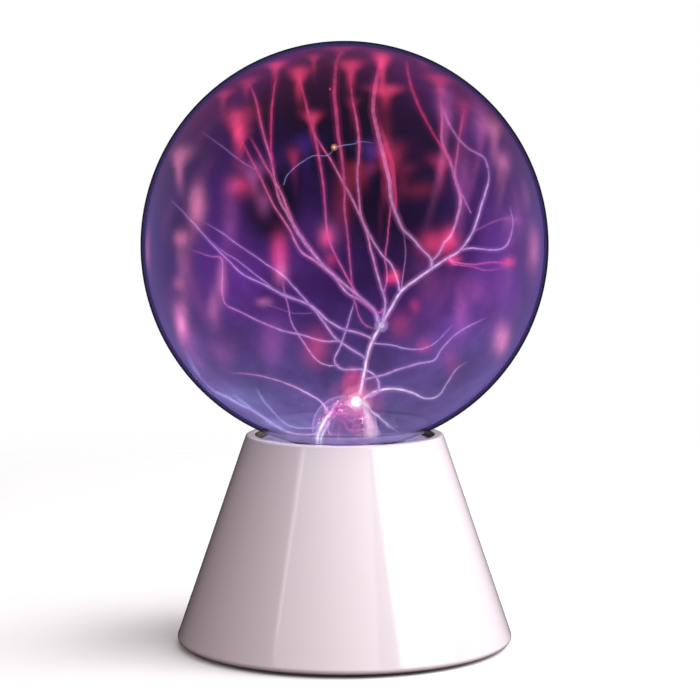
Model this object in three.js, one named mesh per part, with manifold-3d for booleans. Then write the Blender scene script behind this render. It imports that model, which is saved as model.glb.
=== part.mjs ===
// Plasma ball: a gas-filled glass globe on a glossy truncated-cone base, with its drive electronics.
// Millimetres, +Z up. The origin is on the floor, on the axis of the base. The front faces -Y and the
// recessed panel with the rocker switch and the power inlet faces the rear, +Y.
import * as THREE from "three";
import { mergeVertices } from "three/addons/utils/BufferGeometryUtils.js";
import Module from "manifold-3d";

const wasm = await Module();
wasm.setup();

// ---------------------------------------------------------------- driving dimensions
const CLEARANCE = 0.3; // gap kept between touching pieces

const GLOBE_R = 101.6; // an 8 inch globe
const GLOBE_Z = 200.3; // height of the globe's centre
const GLASS = 2.0; // wall of the globe and its neck
const NECK_R = 22.5;
const NECK_BOTTOM_Z = 74;
const NECK_FILLET = 4;

const SHELL_BOTTOM_Z = 1.6;
const RIM_Z = 106.0;
const WALL_ANGLE = THREE.MathUtils.degToRad(18.95); // of the cone's wall from the vertical
const WALL = 2.8;
const FOOT_FILLET = 2.2;
const FOOT_FILLET_R = 82.3; // radius at which the bottom edge's rounding is centred
const RIM_FILLET = 1.8;
const LIP_FILLET = 1.0;
const WELL_R = 44.9; // well in the top of the base, which the globe stands in
const SHELF_Z = 98.0;
const SHELF = 2.6;
const SHELF_HOLE_R = 27;
const WELL_WALL = 2.4;
const GROOVE_TOP_Z = 100.5; // moulding groove between the well and the outer wall

const ELECTRODE_R = 16;
const ELECTRODE_WALL = 1.4;
const ELECTRODE_TOP_Z = 124.4;
const FLARE_R = NECK_R - GLASS - 0.4;

const COVER_R = 80.4;
const COVER_Z = 2.6;
const COVER = 2.6;
const COVER_SCREW_RING_R = 67.5;
const FOOT_RING_R = 64;
const COLLAR_SCREW_RING_R = 34;

const PANEL_Z = 26; // height of the rear panel's centre on the cone's outer wall
const PANEL_DEPTH = 4.2;
const PANEL_PLATE = 2.6;
const PANEL_HALF_X = 22;
const PANEL_HALF_Y = 15;
const SWITCH_X = -9.5; // places on the panel, in the panel's own frame
const JACK_X = 12.5;
const ROCKER_THROW = THREE.MathUtils.degToRad(12); // each way from the middle, off, position

const BOARD_Z = 14.3;
const BOARD = 1.6;
const BOARD_HALF_X = 48;
const BOARD_HALF_Y = 32;
const BOARD_HOLE_X = 43;
const BOARD_HOLE_Y = 27;

const LEAD_R = 0.9;
const HV_LEAD_R = 1.5;

// Pan-head screws: radius and height of the head, radius and length of the shank.
const COLLAR_SCREW = [2.9, 2.1, 1.2, 10.2];
const COVER_SCREW = [3.1, 2.1, 1.3, 17];
const BOARD_SCREW = [2.7, 1.9, 1.15, 8];
const SINK_SCREW = [2.8, 1.9, 1.4, 6];
const COVER_SCREW_HOLE_R = 1.9;
const COLLAR_SCREW_HOLE_R = 1.9;
const BOARD_SCREW_HOLE_R = 1.8;

const GLOBE_SEGMENTS = 32;
const SHELL_SEGMENTS = 36;
const RING_SEGMENTS = 24;
const SMALL_SEGMENTS = 12;
const SCREW_SEGMENTS = 8;

// ---------------------------------------------------------------- materials
const standard = (color, roughness, metalness = 0, extra = {}) =>
  new THREE.MeshStandardMaterial({ color, roughness, metalness, ...extra });
const clearGlass = standard(0x8f8fd0, 0.03, 0, { transparent: true, opacity: 0.3 });
const whiteGloss = standard(0xf3eaf0, 0.12);
const blackPlastic = standard(0x151517, 0.45);
const blackRubber = standard(0x1b1a1a, 0.85);
const greyCover = standard(0x2a2a2d, 0.6);
const steel = standard(0xb9bbc0, 0.32, 1);
const wool = standard(0x8c8a8c, 0.5, 0.8);
const brass = standard(0xc9a25a, 0.3, 1);
const silicone = standard(0xe9e6df, 0.6);
const boardGreen = standard(0x1f6b3a, 0.5);
const ferrite = standard(0x35353a, 0.7);
const windingTape = standard(0xd9b53a, 0.5);
const copper = standard(0xb5683a, 0.35, 1);
const aluminium = standard(0xc4c6c9, 0.4, 1);
const capacitorSleeve = standard(0x1d2b52, 0.35);
const filmBrown = standard(0x8a3a22, 0.3);
const resistorBody = standard(0xcdb68c, 0.6);
const trimmerBlue = standard(0x2d62b8, 0.5);
const redLead = standard(0xb3201c, 0.5);
const blackLead = standard(0x161616, 0.5);
const whiteLead = standard(0xe6e4df, 0.5);

// ---------------------------------------------------------------- geometry helpers
const v2 = (r, z) => new THREE.Vector2(r, z);
const v3 = (x, y, z) => new THREE.Vector3(x, y, z);
const deg = THREE.MathUtils.degToRad;

// Points of an arc in a profile, from angle a0 to a1 in radians.
function arc(r, z, radius, a0, a1, steps) {
  const points = [];
  for (let i = 0; i <= steps; i++) {
    const a = a0 + ((a1 - a0) * i) / steps;
    points.push(v2(r + radius * Math.cos(a), z + radius * Math.sin(a)));
  }
  return points;
}

// A solid of revolution about Z. The profile runs anticlockwise in (radius, height), and closes on
// itself unless it starts and ends on the axis.
function lathe(profile, segments) {
  const onAxis = profile[0].x === 0 && profile[profile.length - 1].x === 0;
  const points = onAxis ? profile : [...profile, profile[0]];
  return new THREE.LatheGeometry(points, segments).rotateX(Math.PI / 2);
}

const box = (w, d, h, x = 0, y = 0, z = 0) =>
  new THREE.BoxGeometry(w, d, h).translate(x, y, z);

// A rod along Z from height z0 to z1.
const rod = (radius, z0, z1, x = 0, y = 0, segments = SMALL_SEGMENTS) =>
  new THREE.CylinderGeometry(radius, radius, z1 - z0, segments)
    .rotateX(Math.PI / 2)
    .translate(x, y, (z0 + z1) / 2);

// A rectangle with round corners, as a shape in XY.
function roundedRectangle(halfX, halfY, corner) {
  const shape = new THREE.Shape();
  const quarter = Math.PI / 2;
  shape.moveTo(halfX, halfY - corner);
  shape.absarc(halfX - corner, halfY - corner, corner, 0, quarter);
  shape.absarc(corner - halfX, halfY - corner, corner, quarter, 2 * quarter);
  shape.absarc(corner - halfX, corner - halfY, corner, 2 * quarter, 3 * quarter);
  shape.absarc(halfX - corner, corner - halfY, corner, 3 * quarter, 4 * quarter);
  return shape;
}

// A shape in XY made solid from height z0 to z1.
const extrude = (shape, z0, z1, curveSegments = 3) =>
  new THREE.ExtrudeGeometry(shape, {
    depth: z1 - z0,
    bevelEnabled: false,
    curveSegments,
  }).translate(0, 0, z0);

// A round lead along a smooth curve through the points.
function lead(points, radius, steps) {
  const section = new THREE.Shape();
  section.absarc(0, 0, radius, 0, 2 * Math.PI);
  return new THREE.ExtrudeGeometry(section, {
    steps,
    curveSegments: 4,
    bevelEnabled: false,
    extrudePath: new THREE.CatmullRomCurve3(points),
  });
}

function solid(geometry) {
  const plain = geometry.clone();
  plain.deleteAttribute("normal");
  plain.deleteAttribute("uv");
  const merged = mergeVertices(plain, 1e-3);
  return new wasm.Manifold(
    new wasm.Mesh({
      numProp: 3,
      vertProperties: merged.attributes.position.array,
      triVerts: new Uint32Array(merged.index.array),
    }),
  );
}

function geometryOf(manifold) {
  const mesh = manifold.getMesh();
  return new THREE.BufferGeometry()
    .setAttribute("position", new THREE.BufferAttribute(mesh.vertProperties, 3))
    .setIndex(new THREE.BufferAttribute(mesh.triVerts, 1));
}

const join = (first, ...others) =>
  geometryOf(others.reduce((sum, g) => sum.add(solid(g)), solid(first)));
const cut = (body, ...tools) =>
  geometryOf(tools.reduce((left, g) => left.subtract(solid(g)), solid(body)));
const common = (a, b) => geometryOf(solid(a).intersect(solid(b)));

const onRing = (radius, degrees) =>
  v3(radius * Math.cos(deg(degrees)), radius * Math.sin(deg(degrees)), 0);

// ---------------------------------------------------------------- the scene graph
const plasmaBall = new THREE.Group();

function add(name, geometry, material, parent = plasmaBall) {
  const mesh = new THREE.Mesh(geometry, material);
  mesh.name = name;
  parent.add(mesh);
  return mesh;
}

// A pan-head screw along Z: the head's flat underside is at height 0, and the shank goes up from it.
function screw(headR, headHeight, shankR, length) {
  const body = lathe(
    [
      v2(0, -headHeight),
      v2(0.7 * headR, -headHeight),
      v2(headR, -0.45 * headHeight),
      v2(headR, 0),
      v2(shankR, 0),
      v2(shankR, length - shankR),
      v2(0, length),
    ],
    SCREW_SEGMENTS,
  );
  const slot = 0.3 * headR;
  const recess = headHeight; // the cross recess goes half the head's height deep
  return cut(
    body,
    box(1.2 * headR, slot, recess, 0, 0, -headHeight),
    box(slot, 1.2 * headR, recess, 0, 0, -headHeight),
  );
}

// ---------------------------------------------------------------- glass
function globeGlass() {
  const filletR = NECK_R + NECK_FILLET;
  const filletDrop = Math.sqrt((GLOBE_R + NECK_FILLET) ** 2 - filletR ** 2);
  const filletZ = GLOBE_Z - filletDrop;
  const start = Math.atan2(-filletDrop, filletR); // where the sphere leaves the fillet
  const turn = start + Math.PI; // the same direction seen from the fillet's centre
  const inner = GLOBE_R - GLASS;
  return lathe(
    [
      v2(0, GLOBE_Z + inner),
      ...arc(0, GLOBE_Z, inner, Math.PI / 2, 0, 8).slice(1),
      ...arc(0, GLOBE_Z, inner, 0, start, 6).slice(1),
      ...arc(filletR, filletZ, NECK_FILLET + GLASS, turn, Math.PI, 3).slice(1),
      v2(NECK_R - GLASS, NECK_BOTTOM_Z),
      v2(NECK_R, NECK_BOTTOM_Z),
      ...arc(filletR, filletZ, NECK_FILLET, Math.PI, turn, 3).slice(0, -1),
      ...arc(0, GLOBE_Z, GLOBE_R, start, 0, 6).slice(0, -1),
      ...arc(0, GLOBE_Z, GLOBE_R, 0, Math.PI / 2, 8).slice(0, -1),
      v2(0, GLOBE_Z + GLOBE_R),
    ],
    GLOBE_SEGMENTS,
  );
}

function electrodeGlass() {
  const domeZ = ELECTRODE_TOP_Z - ELECTRODE_R;
  const inner = ELECTRODE_R - ELECTRODE_WALL;
  const flareZ = 81;
  const flare = FLARE_R - ELECTRODE_R;
  const rimZ = NECK_BOTTOM_Z + 1.2;
  return lathe(
    [
      v2(0, domeZ + inner),
      ...arc(0, domeZ, inner, Math.PI / 2, 0, 6).slice(1),
      ...arc(inner + flare, flareZ, flare, Math.PI, 1.4 * Math.PI, 3),
      v2(FLARE_R - ELECTRODE_WALL, rimZ),
      v2(FLARE_R, rimZ),
      v2(FLARE_R, rimZ + ELECTRODE_WALL),
      ...arc(ELECTRODE_R + flare, flareZ, flare, 1.4 * Math.PI, Math.PI, 3),
      ...arc(0, domeZ, ELECTRODE_R, 0, Math.PI / 2, 6).slice(0, -1),
      v2(0, ELECTRODE_TOP_Z),
    ],
    RING_SEGMENTS,
  );
}

add("globe_glass", globeGlass(), clearGlass);
add("electrode_glass", electrodeGlass(), clearGlass);

// ---------------------------------------------------------------- inside the electrode
const WOOL_R = ELECTRODE_R - ELECTRODE_WALL - 0.5;
const WOOL_BOTTOM_Z = 90;
const WOOL_CHAMFER = 3;
const ROD_R = 1.5;
const ROD_BOTTOM_Z = 66;
const ROD_TOP_Z = 112;
const PLUG_BOTTOM_Z = 82;
const PLUG_TOP_Z = 87;
const EXHAUST_TIP_X = -18.4;

function electrodeWool() {
  const domeZ = ELECTRODE_TOP_Z - ELECTRODE_R;
  const holeR = ROD_R + CLEARANCE;
  const holeTopZ = ROD_TOP_Z + CLEARANCE;
  return lathe(
    [
      v2(0, holeTopZ),
      v2(holeR, holeTopZ),
      v2(holeR, WOOL_BOTTOM_Z),
      v2(WOOL_R - WOOL_CHAMFER, WOOL_BOTTOM_Z),
      v2(WOOL_R, WOOL_BOTTOM_Z + WOOL_CHAMFER),
      ...arc(0, domeZ, WOOL_R, 0, Math.PI / 2, 5).slice(0, -1),
      v2(0, domeZ + WOOL_R),
    ],
    16,
  );
}

function stemPlug() {
  const holeR = ROD_R + CLEARANCE;
  return lathe(
    [
      v2(holeR, PLUG_BOTTOM_Z),
      v2(WOOL_R, PLUG_BOTTOM_Z),
      v2(WOOL_R, PLUG_TOP_Z),
      v2(holeR, PLUG_TOP_Z),
    ],
    20,
  );
}

// The sealed-off pump tube under the ring where the neck and the electrode's flare meet.
function exhaustTip() {
  const top = NECK_BOTTOM_Z - CLEARANCE;
  return lathe(
    [v2(0, top - 13), v2(0.7, top - 12), v2(1.7, top - 6), v2(1.9, top), v2(0, top)],
    10,
  ).translate(EXHAUST_TIP_X, 0, 0);
}

add("electrode_wool", electrodeWool(), wool);
add("electrode_rod", rod(ROD_R, ROD_BOTTOM_Z, ROD_TOP_Z), steel);
add("stem_plug", stemPlug(), silicone);
add("exhaust_tip", exhaustTip(), clearGlass);

// ---------------------------------------------------------------- base shell
const WALL_SLOPE = Math.tan(WALL_ANGLE);
const FOOT_FILLET_Z = SHELL_BOTTOM_Z + FOOT_FILLET;
const RADIAL = 1 / Math.cos(WALL_ANGLE); // radial width of a normal thickness of 1
const BOTTOM_LINE_R = FOOT_FILLET_R + FOOT_FILLET * RADIAL;

// Radius of the cone's outer wall at a height, and of a surface inset from it.
const wallR = (z, inset = 0) =>
  BOTTOM_LINE_R - (z - FOOT_FILLET_Z) * WALL_SLOPE - inset * RADIAL;

const outerProfile = () => [
  ...arc(FOOT_FILLET_R, FOOT_FILLET_Z, FOOT_FILLET, -Math.PI / 2, WALL_ANGLE, 4),
  ...arc(wallR(RIM_Z - RIM_FILLET, RIM_FILLET), RIM_Z - RIM_FILLET, RIM_FILLET, WALL_ANGLE, Math.PI / 2, 3),
];

const PANEL_NORMAL = v3(0, Math.cos(WALL_ANGLE), Math.sin(WALL_ANGLE));
const panel = new THREE.Group();
panel.position
  .set(0, wallR(PANEL_Z), PANEL_Z)
  .addScaledVector(PANEL_NORMAL, -PANEL_DEPTH);
panel.quaternion.setFromRotationMatrix(
  new THREE.Matrix4().makeBasis(
    v3(-1, 0, 0),
    v3(0, -Math.sin(WALL_ANGLE), Math.cos(WALL_ANGLE)),
    PANEL_NORMAL,
  ),
);
panel.updateMatrix();
plasmaBall.add(panel);
const panelPoint = (x, y, z) => v3(x, y, z).applyMatrix4(panel.matrix);
const onPanel = (geometry) => geometry.applyMatrix4(panel.matrix);

const SWITCH_BODY_X = 7.6;
const SWITCH_BODY_Y = 10.6;
const JACK_HOLE_R = 4.3;
const COVER_BOSS_R = 4;
const COLLAR_BOSS_R = 3.6;
const COLLAR_BOSS_BOTTOM_Z = 86;
const COVER_BOSS_BOTTOM_Z = 9.3;
const COVER_BOSS_TOP_Z = 50;
const COVER_PILOT_R = 1.8; // pilot holes in the bosses for the thread-forming screws
const COVER_PILOT_TOP_Z = 26;
const COLLAR_PILOT_R = 1.6;
const COLLAR_PILOT_TOP_Z = 94.4;
const SWITCH_OPENING_PLAY = 0.7;
const COVER_SCREW_ANGLES = [45, 135, 225, 315];
const COLLAR_SCREW_ANGLES = [90, 210, 330];

function baseShell() {
  const grooveR = wallR(GROOVE_TOP_Z, WALL);
  const wall = lathe(
    [
      v2(wallR(SHELL_BOTTOM_Z, WALL + 0.4), SHELL_BOTTOM_Z),
      ...outerProfile(),
      ...arc(WELL_R + LIP_FILLET, RIM_Z - LIP_FILLET, LIP_FILLET, Math.PI / 2, Math.PI, 2),
      v2(WELL_R, SHELF_Z),
      v2(SHELF_HOLE_R, SHELF_Z),
      v2(SHELF_HOLE_R, SHELF_Z - SHELF),
      v2(WELL_R + WELL_WALL, SHELF_Z - SHELF),
      v2(WELL_R + WELL_WALL, GROOVE_TOP_Z),
      v2(grooveR, GROOVE_TOP_Z),
    ],
    SHELL_SEGMENTS,
  );
  const cone = lathe(
    [v2(0, SHELL_BOTTOM_Z), ...outerProfile(), v2(0, RIM_Z)],
    SHELL_SEGMENTS,
  );
  const insideCone = lathe(
    [
      v2(0, SHELL_BOTTOM_Z),
      v2(wallR(SHELL_BOTTOM_Z, 1), SHELL_BOTTOM_Z),
      v2(wallR(RIM_Z, 1), RIM_Z),
      v2(0, RIM_Z),
    ],
    SHELL_SEGMENTS,
  );
  const margin = 2.4;
  const block = common(
    onPanel(
      extrude(
        roundedRectangle(PANEL_HALF_X + margin, PANEL_HALF_Y + margin, 4),
        -PANEL_PLATE,
        2 * PANEL_DEPTH,
      ),
    ),
    cone,
  );
  const coverBosses = COVER_SCREW_ANGLES.map((a) => {
    const at = onRing(COVER_SCREW_RING_R, a);
    return common(rod(COVER_BOSS_R, COVER_BOSS_BOTTOM_Z, COVER_BOSS_TOP_Z, at.x, at.y), insideCone);
  });
  const collarBosses = COLLAR_SCREW_ANGLES.map((a) => {
    const at = onRing(COLLAR_SCREW_RING_R, a);
    return rod(COLLAR_BOSS_R, COLLAR_BOSS_BOTTOM_Z, SHELF_Z - SHELF / 2, at.x, at.y);
  });
  const coverHoles = COVER_SCREW_ANGLES.map((a) => {
    const at = onRing(COVER_SCREW_RING_R, a);
    return rod(COVER_PILOT_R, COVER_BOSS_BOTTOM_Z - 1, COVER_PILOT_TOP_Z, at.x, at.y, 8);
  });
  const collarHoles = COLLAR_SCREW_ANGLES.map((a) => {
    const at = onRing(COLLAR_SCREW_RING_R, a);
    return rod(COLLAR_PILOT_R, COLLAR_BOSS_BOTTOM_Z - 1, COLLAR_PILOT_TOP_Z, at.x, at.y, 8);
  });
  const through = PANEL_PLATE + 1;
  return cut(
    join(wall, block, ...coverBosses, ...collarBosses),
    onPanel(extrude(roundedRectangle(PANEL_HALF_X, PANEL_HALF_Y, 3), 0, 3 * PANEL_DEPTH)),
    onPanel(
      box(
        2 * SWITCH_BODY_X + SWITCH_OPENING_PLAY,
        2 * SWITCH_BODY_Y + SWITCH_OPENING_PLAY,
        2 * through,
        SWITCH_X,
      ),
    ),
    onPanel(rod(JACK_HOLE_R, -through, through, JACK_X, 0, 16)),
    ...coverHoles,
    ...collarHoles,
  );
}

add("base_shell", baseShell(), whiteGloss);

// ---------------------------------------------------------------- globe seat
const GASKET_INNER_R = 30.5;
const GASKET_OUTER_R = WELL_R - 0.4;

// The top slopes down towards the axis, under the globe.
function globeGasket() {
  return lathe(
    [
      v2(GASKET_INNER_R, SHELF_Z + CLEARANCE),
      v2(GASKET_OUTER_R, SHELF_Z + CLEARANCE),
      v2(GASKET_OUTER_R, 102.6),
      v2(42.5, 103.8),
      v2(36, 104.3),
      v2(GASKET_INNER_R, 102.8),
    ],
    SHELL_SEGMENTS,
  );
}

const COLLAR_TOP_Z = COLLAR_BOSS_BOTTOM_Z - CLEARANCE;
const COLLAR_FLANGE = 2.6;

const COLLAR_INNER_R = 24.6;
const COLLAR_HUB_R = 27.2;
const COLLAR_FLANGE_R = 39;
const CEMENT_INNER_R = NECK_R + 0.5;
const CEMENT_OUTER_R = COLLAR_INNER_R - 0.5;
const CEMENT_BOTTOM_Z = 76;
const CEMENT_TOP_Z = 88;

function neckCement() {
  return lathe(
    [
      v2(CEMENT_INNER_R, CEMENT_BOTTOM_Z),
      v2(CEMENT_OUTER_R, CEMENT_BOTTOM_Z),
      v2(CEMENT_OUTER_R, CEMENT_TOP_Z),
      v2(CEMENT_INNER_R, CEMENT_TOP_Z),
    ],
    GLOBE_SEGMENTS,
  );
}

function neckCollar() {
  const flangeBottom = COLLAR_TOP_Z - COLLAR_FLANGE;
  const ring = lathe(
    [
      v2(COLLAR_INNER_R, NECK_BOTTOM_Z + 0.5),
      v2(COLLAR_HUB_R, NECK_BOTTOM_Z + 0.5),
      v2(COLLAR_HUB_R, flangeBottom),
      v2(COLLAR_FLANGE_R, flangeBottom),
      v2(COLLAR_FLANGE_R, COLLAR_TOP_Z),
      v2(COLLAR_INNER_R, COLLAR_TOP_Z),
    ],
    GLOBE_SEGMENTS,
  );
  const holes = COLLAR_SCREW_ANGLES.map((a) => {
    const at = onRing(COLLAR_SCREW_RING_R, a);
    return rod(COLLAR_SCREW_HOLE_R, flangeBottom - 1, COLLAR_TOP_Z + 1, at.x, at.y, 8);
  });
  return cut(ring, ...holes);
}

add("globe_gasket", globeGasket(), blackRubber);
add("neck_cement", neckCement(), silicone);
add("neck_collar", neckCollar(), blackPlastic);
COLLAR_SCREW_ANGLES.forEach((a, i) => {
  const mesh = add(`collar_screw_${i + 1}`, screw(...COLLAR_SCREW), steel);
  mesh.position.copy(onRing(COLLAR_SCREW_RING_R, a));
  mesh.position.z = COLLAR_TOP_Z - COLLAR_FLANGE - CLEARANCE;
});

// ---------------------------------------------------------------- bottom cover, feet and screws
const CUP_R = 5.4;
const CUP_TOP_Z = COVER_BOSS_BOTTOM_Z - CLEARANCE;
const CUP_FLOOR_Z = 6.6;
const CUP_BORE_R = 3.9;
const POST_R = 3.2;
const POST_PILOT_R = 1.5;
const FOOT_ANGLES = [0, 90, 180, 270];
const FOOT_HOLE_R = 3.0;
const VENT_COUNT = 10;
const VENT_PITCH = 6.4;
const VENT_WIDTH = 2.6;
const VENT_LENGTH = 34;
const COVER_CHAMFER = 0.8;

function bottomCover() {
  const top = COVER_Z + COVER;
  const plate = lathe(
    [
      v2(0, COVER_Z),
      v2(COVER_R - COVER_CHAMFER, COVER_Z),
      v2(COVER_R, COVER_Z + COVER_CHAMFER),
      v2(COVER_R - 0.6, top),
      v2(0, top),
    ],
    SHELL_SEGMENTS,
  );
  const cups = [];
  const holes = [];
  for (const a of COVER_SCREW_ANGLES) {
    const at = onRing(COVER_SCREW_RING_R, a);
    cups.push(rod(CUP_R, COVER_Z + 1, CUP_TOP_Z, at.x, at.y));
    holes.push(rod(CUP_BORE_R, COVER_Z - 1, CUP_FLOOR_Z, at.x, at.y));
    holes.push(rod(COVER_SCREW_HOLE_R, CUP_FLOOR_Z - 1, CUP_TOP_Z + 1, at.x, at.y, 8));
  }
  for (const a of FOOT_ANGLES) {
    const at = onRing(FOOT_RING_R, a);
    holes.push(rod(FOOT_HOLE_R, COVER_Z - 1, top + 1, at.x, at.y));
  }
  for (const x of [-BOARD_HOLE_X, BOARD_HOLE_X])
    for (const y of [-BOARD_HOLE_Y, BOARD_HOLE_Y]) {
      cups.push(rod(POST_R, COVER_Z + 1, BOARD_Z - CLEARANCE, x, y));
      holes.push(rod(POST_PILOT_R, top, BOARD_Z + 1, x, y, 8));
    }
  for (let i = 0; i < VENT_COUNT; i++)
    holes.push(
      box(VENT_WIDTH, VENT_LENGTH, 3 * COVER, (i - (VENT_COUNT - 1) / 2) * VENT_PITCH, 0, COVER_Z),
    );
  return cut(join(plate, ...cups), ...holes);
}

const FOOT_R = 7.4;
const FOOT_STEM_R = FOOT_HOLE_R - 0.4;
const BARB_R = 3.7;
const BARB_TIP_R = 1.6;
const BARB_HEIGHT = 2.8;

// A rubber foot with a push-in stem and a barb above the cover.
function rubberFoot() {
  const underside = COVER_Z - CLEARANCE;
  const top = COVER_Z + COVER + CLEARANCE;
  return lathe(
    [
      v2(0, 0),
      v2(FOOT_R - 1, 0),
      v2(FOOT_R, 0.9),
      v2(FOOT_R, underside),
      v2(FOOT_STEM_R, underside),
      v2(FOOT_STEM_R, top),
      v2(BARB_R, top),
      v2(BARB_TIP_R, top + BARB_HEIGHT),
      v2(0, top + BARB_HEIGHT),
    ],
    SMALL_SEGMENTS,
  );
}

add("bottom_cover", bottomCover(), greyCover);
FOOT_ANGLES.forEach((a, i) => {
  add(`rubber_foot_${i + 1}`, rubberFoot(), blackRubber).position.copy(onRing(FOOT_RING_R, a));
});
COVER_SCREW_ANGLES.forEach((a, i) => {
  const mesh = add(`cover_screw_${i + 1}`, screw(...COVER_SCREW), steel);
  mesh.position.copy(onRing(COVER_SCREW_RING_R, a));
  mesh.position.z = CUP_FLOOR_Z - CLEARANCE;
});

// ---------------------------------------------------------------- rocker switch
const BEZEL_Z = 2.0; // front of the bezel, above the panel's face
const PIVOT_Z = -1.5;
const ROCKER_R = 8.7;
const ROCKER_HALF_X = 5.6;
const TRUNNION_R = 1.2;
const CAVITY_X = 6.3;
const CAVITY_Y = 9.3;
const CAVITY_FLOOR_Z = -7.8;
const SWITCH_BACK_Z = -10.4;
const BEZEL_MARGIN = 1.6;
const BODY_FRONT_Z = 1; // the body runs up into the bezel
const PIVOT_PLAY = 0.35;
const PIVOT_HOLE_HALF_X = 7.25;
const TRUNNION_HALF_X = 6.9;
const TERMINAL_WIDTH = 4.6;
const TERMINAL_THICKNESS = 0.8;
const TERMINAL_LENGTH = 6;

const alongX = (radius, x0, x1, z, segments) =>
  rod(radius, x0, x1, 0, 0, segments).rotateY(Math.PI / 2).translate(0, 0, z);

function switchHousing() {
  const bezel = extrude(
    roundedRectangle(SWITCH_BODY_X + BEZEL_MARGIN, SWITCH_BODY_Y + BEZEL_MARGIN, BEZEL_MARGIN),
    CLEARANCE,
    BEZEL_Z,
  );
  const body = box(
    2 * SWITCH_BODY_X,
    2 * SWITCH_BODY_Y,
    BODY_FRONT_Z - SWITCH_BACK_Z,
    0,
    0,
    (BODY_FRONT_Z + SWITCH_BACK_Z) / 2,
  );
  const cavity = box(
    2 * CAVITY_X,
    2 * CAVITY_Y,
    2 * BEZEL_Z - CAVITY_FLOOR_Z,
    0,
    0,
    (2 * BEZEL_Z + CAVITY_FLOOR_Z) / 2,
  );
  const pivotR = TRUNNION_R + PIVOT_PLAY;
  const pivots = alongX(pivotR, -PIVOT_HOLE_HALF_X, PIVOT_HOLE_HALF_X, PIVOT_Z, 12);
  return cut(join(bezel, body), cavity, pivots).translate(SWITCH_X, 0, 0);
}

// Side view of the rocker about its pivot, extruded across the switch, with a stub trunnion each side.
function switchRocker() {
  const high = deg(35);
  const low = deg(-27);
  const side = new THREE.Shape();
  side.moveTo(ROCKER_R * Math.cos(low), ROCKER_R * Math.sin(low));
  side.absarc(0, 0, ROCKER_R, low, high, false);
  side.quadraticCurveTo(0, 2.6, -ROCKER_R * Math.cos(high), ROCKER_R * Math.sin(high));
  side.absarc(0, 0, ROCKER_R, Math.PI - high, Math.PI - low, false);
  // The shape's first axis becomes the panel's Y and its depth the panel's X.
  const body = extrude(side, -ROCKER_HALF_X, ROCKER_HALF_X, 8).applyMatrix4(
    new THREE.Matrix4().makeBasis(v3(0, 1, 0), v3(0, 0, 1), v3(1, 0, 0)),
  );
  return join(body, alongX(TRUNNION_R, -TRUNNION_HALF_X, TRUNNION_HALF_X, 0, 12));
}

add("switch_housing", switchHousing(), blackPlastic, panel);
const rocker = add("switch_rocker", switchRocker(), blackPlastic, panel);
rocker.position.set(SWITCH_X, 0, PIVOT_Z);
rocker.rotation.x = -ROCKER_THROW; // stored switched on: the upper end is pressed in

const TERMINAL_Y = [-6, 0, 6];
TERMINAL_Y.forEach((y, i) => {
  const z = SWITCH_BACK_Z - CLEARANCE - TERMINAL_LENGTH / 2;
  add(
    `switch_terminal_${i + 1}`,
    box(TERMINAL_WIDTH, TERMINAL_THICKNESS, TERMINAL_LENGTH, SWITCH_X, y, z),
    brass,
    panel,
  );
});

// ---------------------------------------------------------------- DC inlet, for a 5.5 x 2.1 mm plug
const JACK_BACK_Z = -14;
const SOCKET_R = 3.1;
const SOCKET_FLOOR_Z = -9.5;
const JACK_FRONT_Z = 2.6;
const JACK_BARREL_R = 3.95;
const JACK_BODY_R = 5.4;
const JACK_NUT_R = 6.4; // across its corners
const JACK_NUT_TOP_Z = 2.1;
const JACK_PIN_R = 1.05;

function jackBody() {
  const shoulder = -PANEL_PLATE - CLEARANCE;
  return lathe(
    [
      v2(0, JACK_BACK_Z),
      v2(JACK_BODY_R, JACK_BACK_Z),
      v2(JACK_BODY_R, shoulder),
      v2(JACK_BARREL_R, shoulder),
      v2(JACK_BARREL_R, JACK_FRONT_Z),
      v2(SOCKET_R, JACK_FRONT_Z),
      v2(SOCKET_R, SOCKET_FLOOR_Z),
      v2(0, SOCKET_FLOOR_Z),
    ],
    24,
  ).translate(JACK_X, 0, 0);
}

function jackNut() {
  const chamfer = 0.4;
  const hexagon = lathe(
    [
      v2(0, CLEARANCE),
      v2(JACK_NUT_R, CLEARANCE),
      v2(JACK_NUT_R, JACK_NUT_TOP_Z - chamfer),
      v2(JACK_NUT_R - chamfer, JACK_NUT_TOP_Z),
      v2(0, JACK_NUT_TOP_Z),
    ],
    6,
  );
  return cut(hexagon, rod(JACK_BARREL_R + CLEARANCE, 0, 3, 0, 0, 24)).translate(JACK_X, 0, 0);
}

function jackPin() {
  const bottom = SOCKET_FLOOR_Z + CLEARANCE;
  return lathe(
    [v2(0, bottom), v2(JACK_PIN_R, bottom), v2(JACK_PIN_R, 0.2), v2(0.5, 0.9), v2(0, 0.9)],
    12,
  ).translate(JACK_X, 0, 0);
}

add("dc_jack_body", jackBody(), blackPlastic, panel);
add("dc_jack_nut", jackNut(), steel, panel);
add("dc_jack_pin", jackPin(), brass, panel);

// ---------------------------------------------------------------- circuit board and its parts
const BOARD_TOP_Z = BOARD_Z + BOARD;
const PART_Z = BOARD_TOP_Z + CLEARANCE;

function circuitBoard() {
  const plate = extrude(roundedRectangle(BOARD_HALF_X, BOARD_HALF_Y, 3), BOARD_Z, BOARD_TOP_Z, 2);
  const holes = [];
  for (const x of [-BOARD_HOLE_X, BOARD_HOLE_X])
    for (const y of [-BOARD_HOLE_Y, BOARD_HOLE_Y])
      holes.push(rod(BOARD_SCREW_HOLE_R, BOARD_Z - 1, BOARD_TOP_Z + 1, x, y, 8));
  return cut(plate, ...holes);
}

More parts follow.
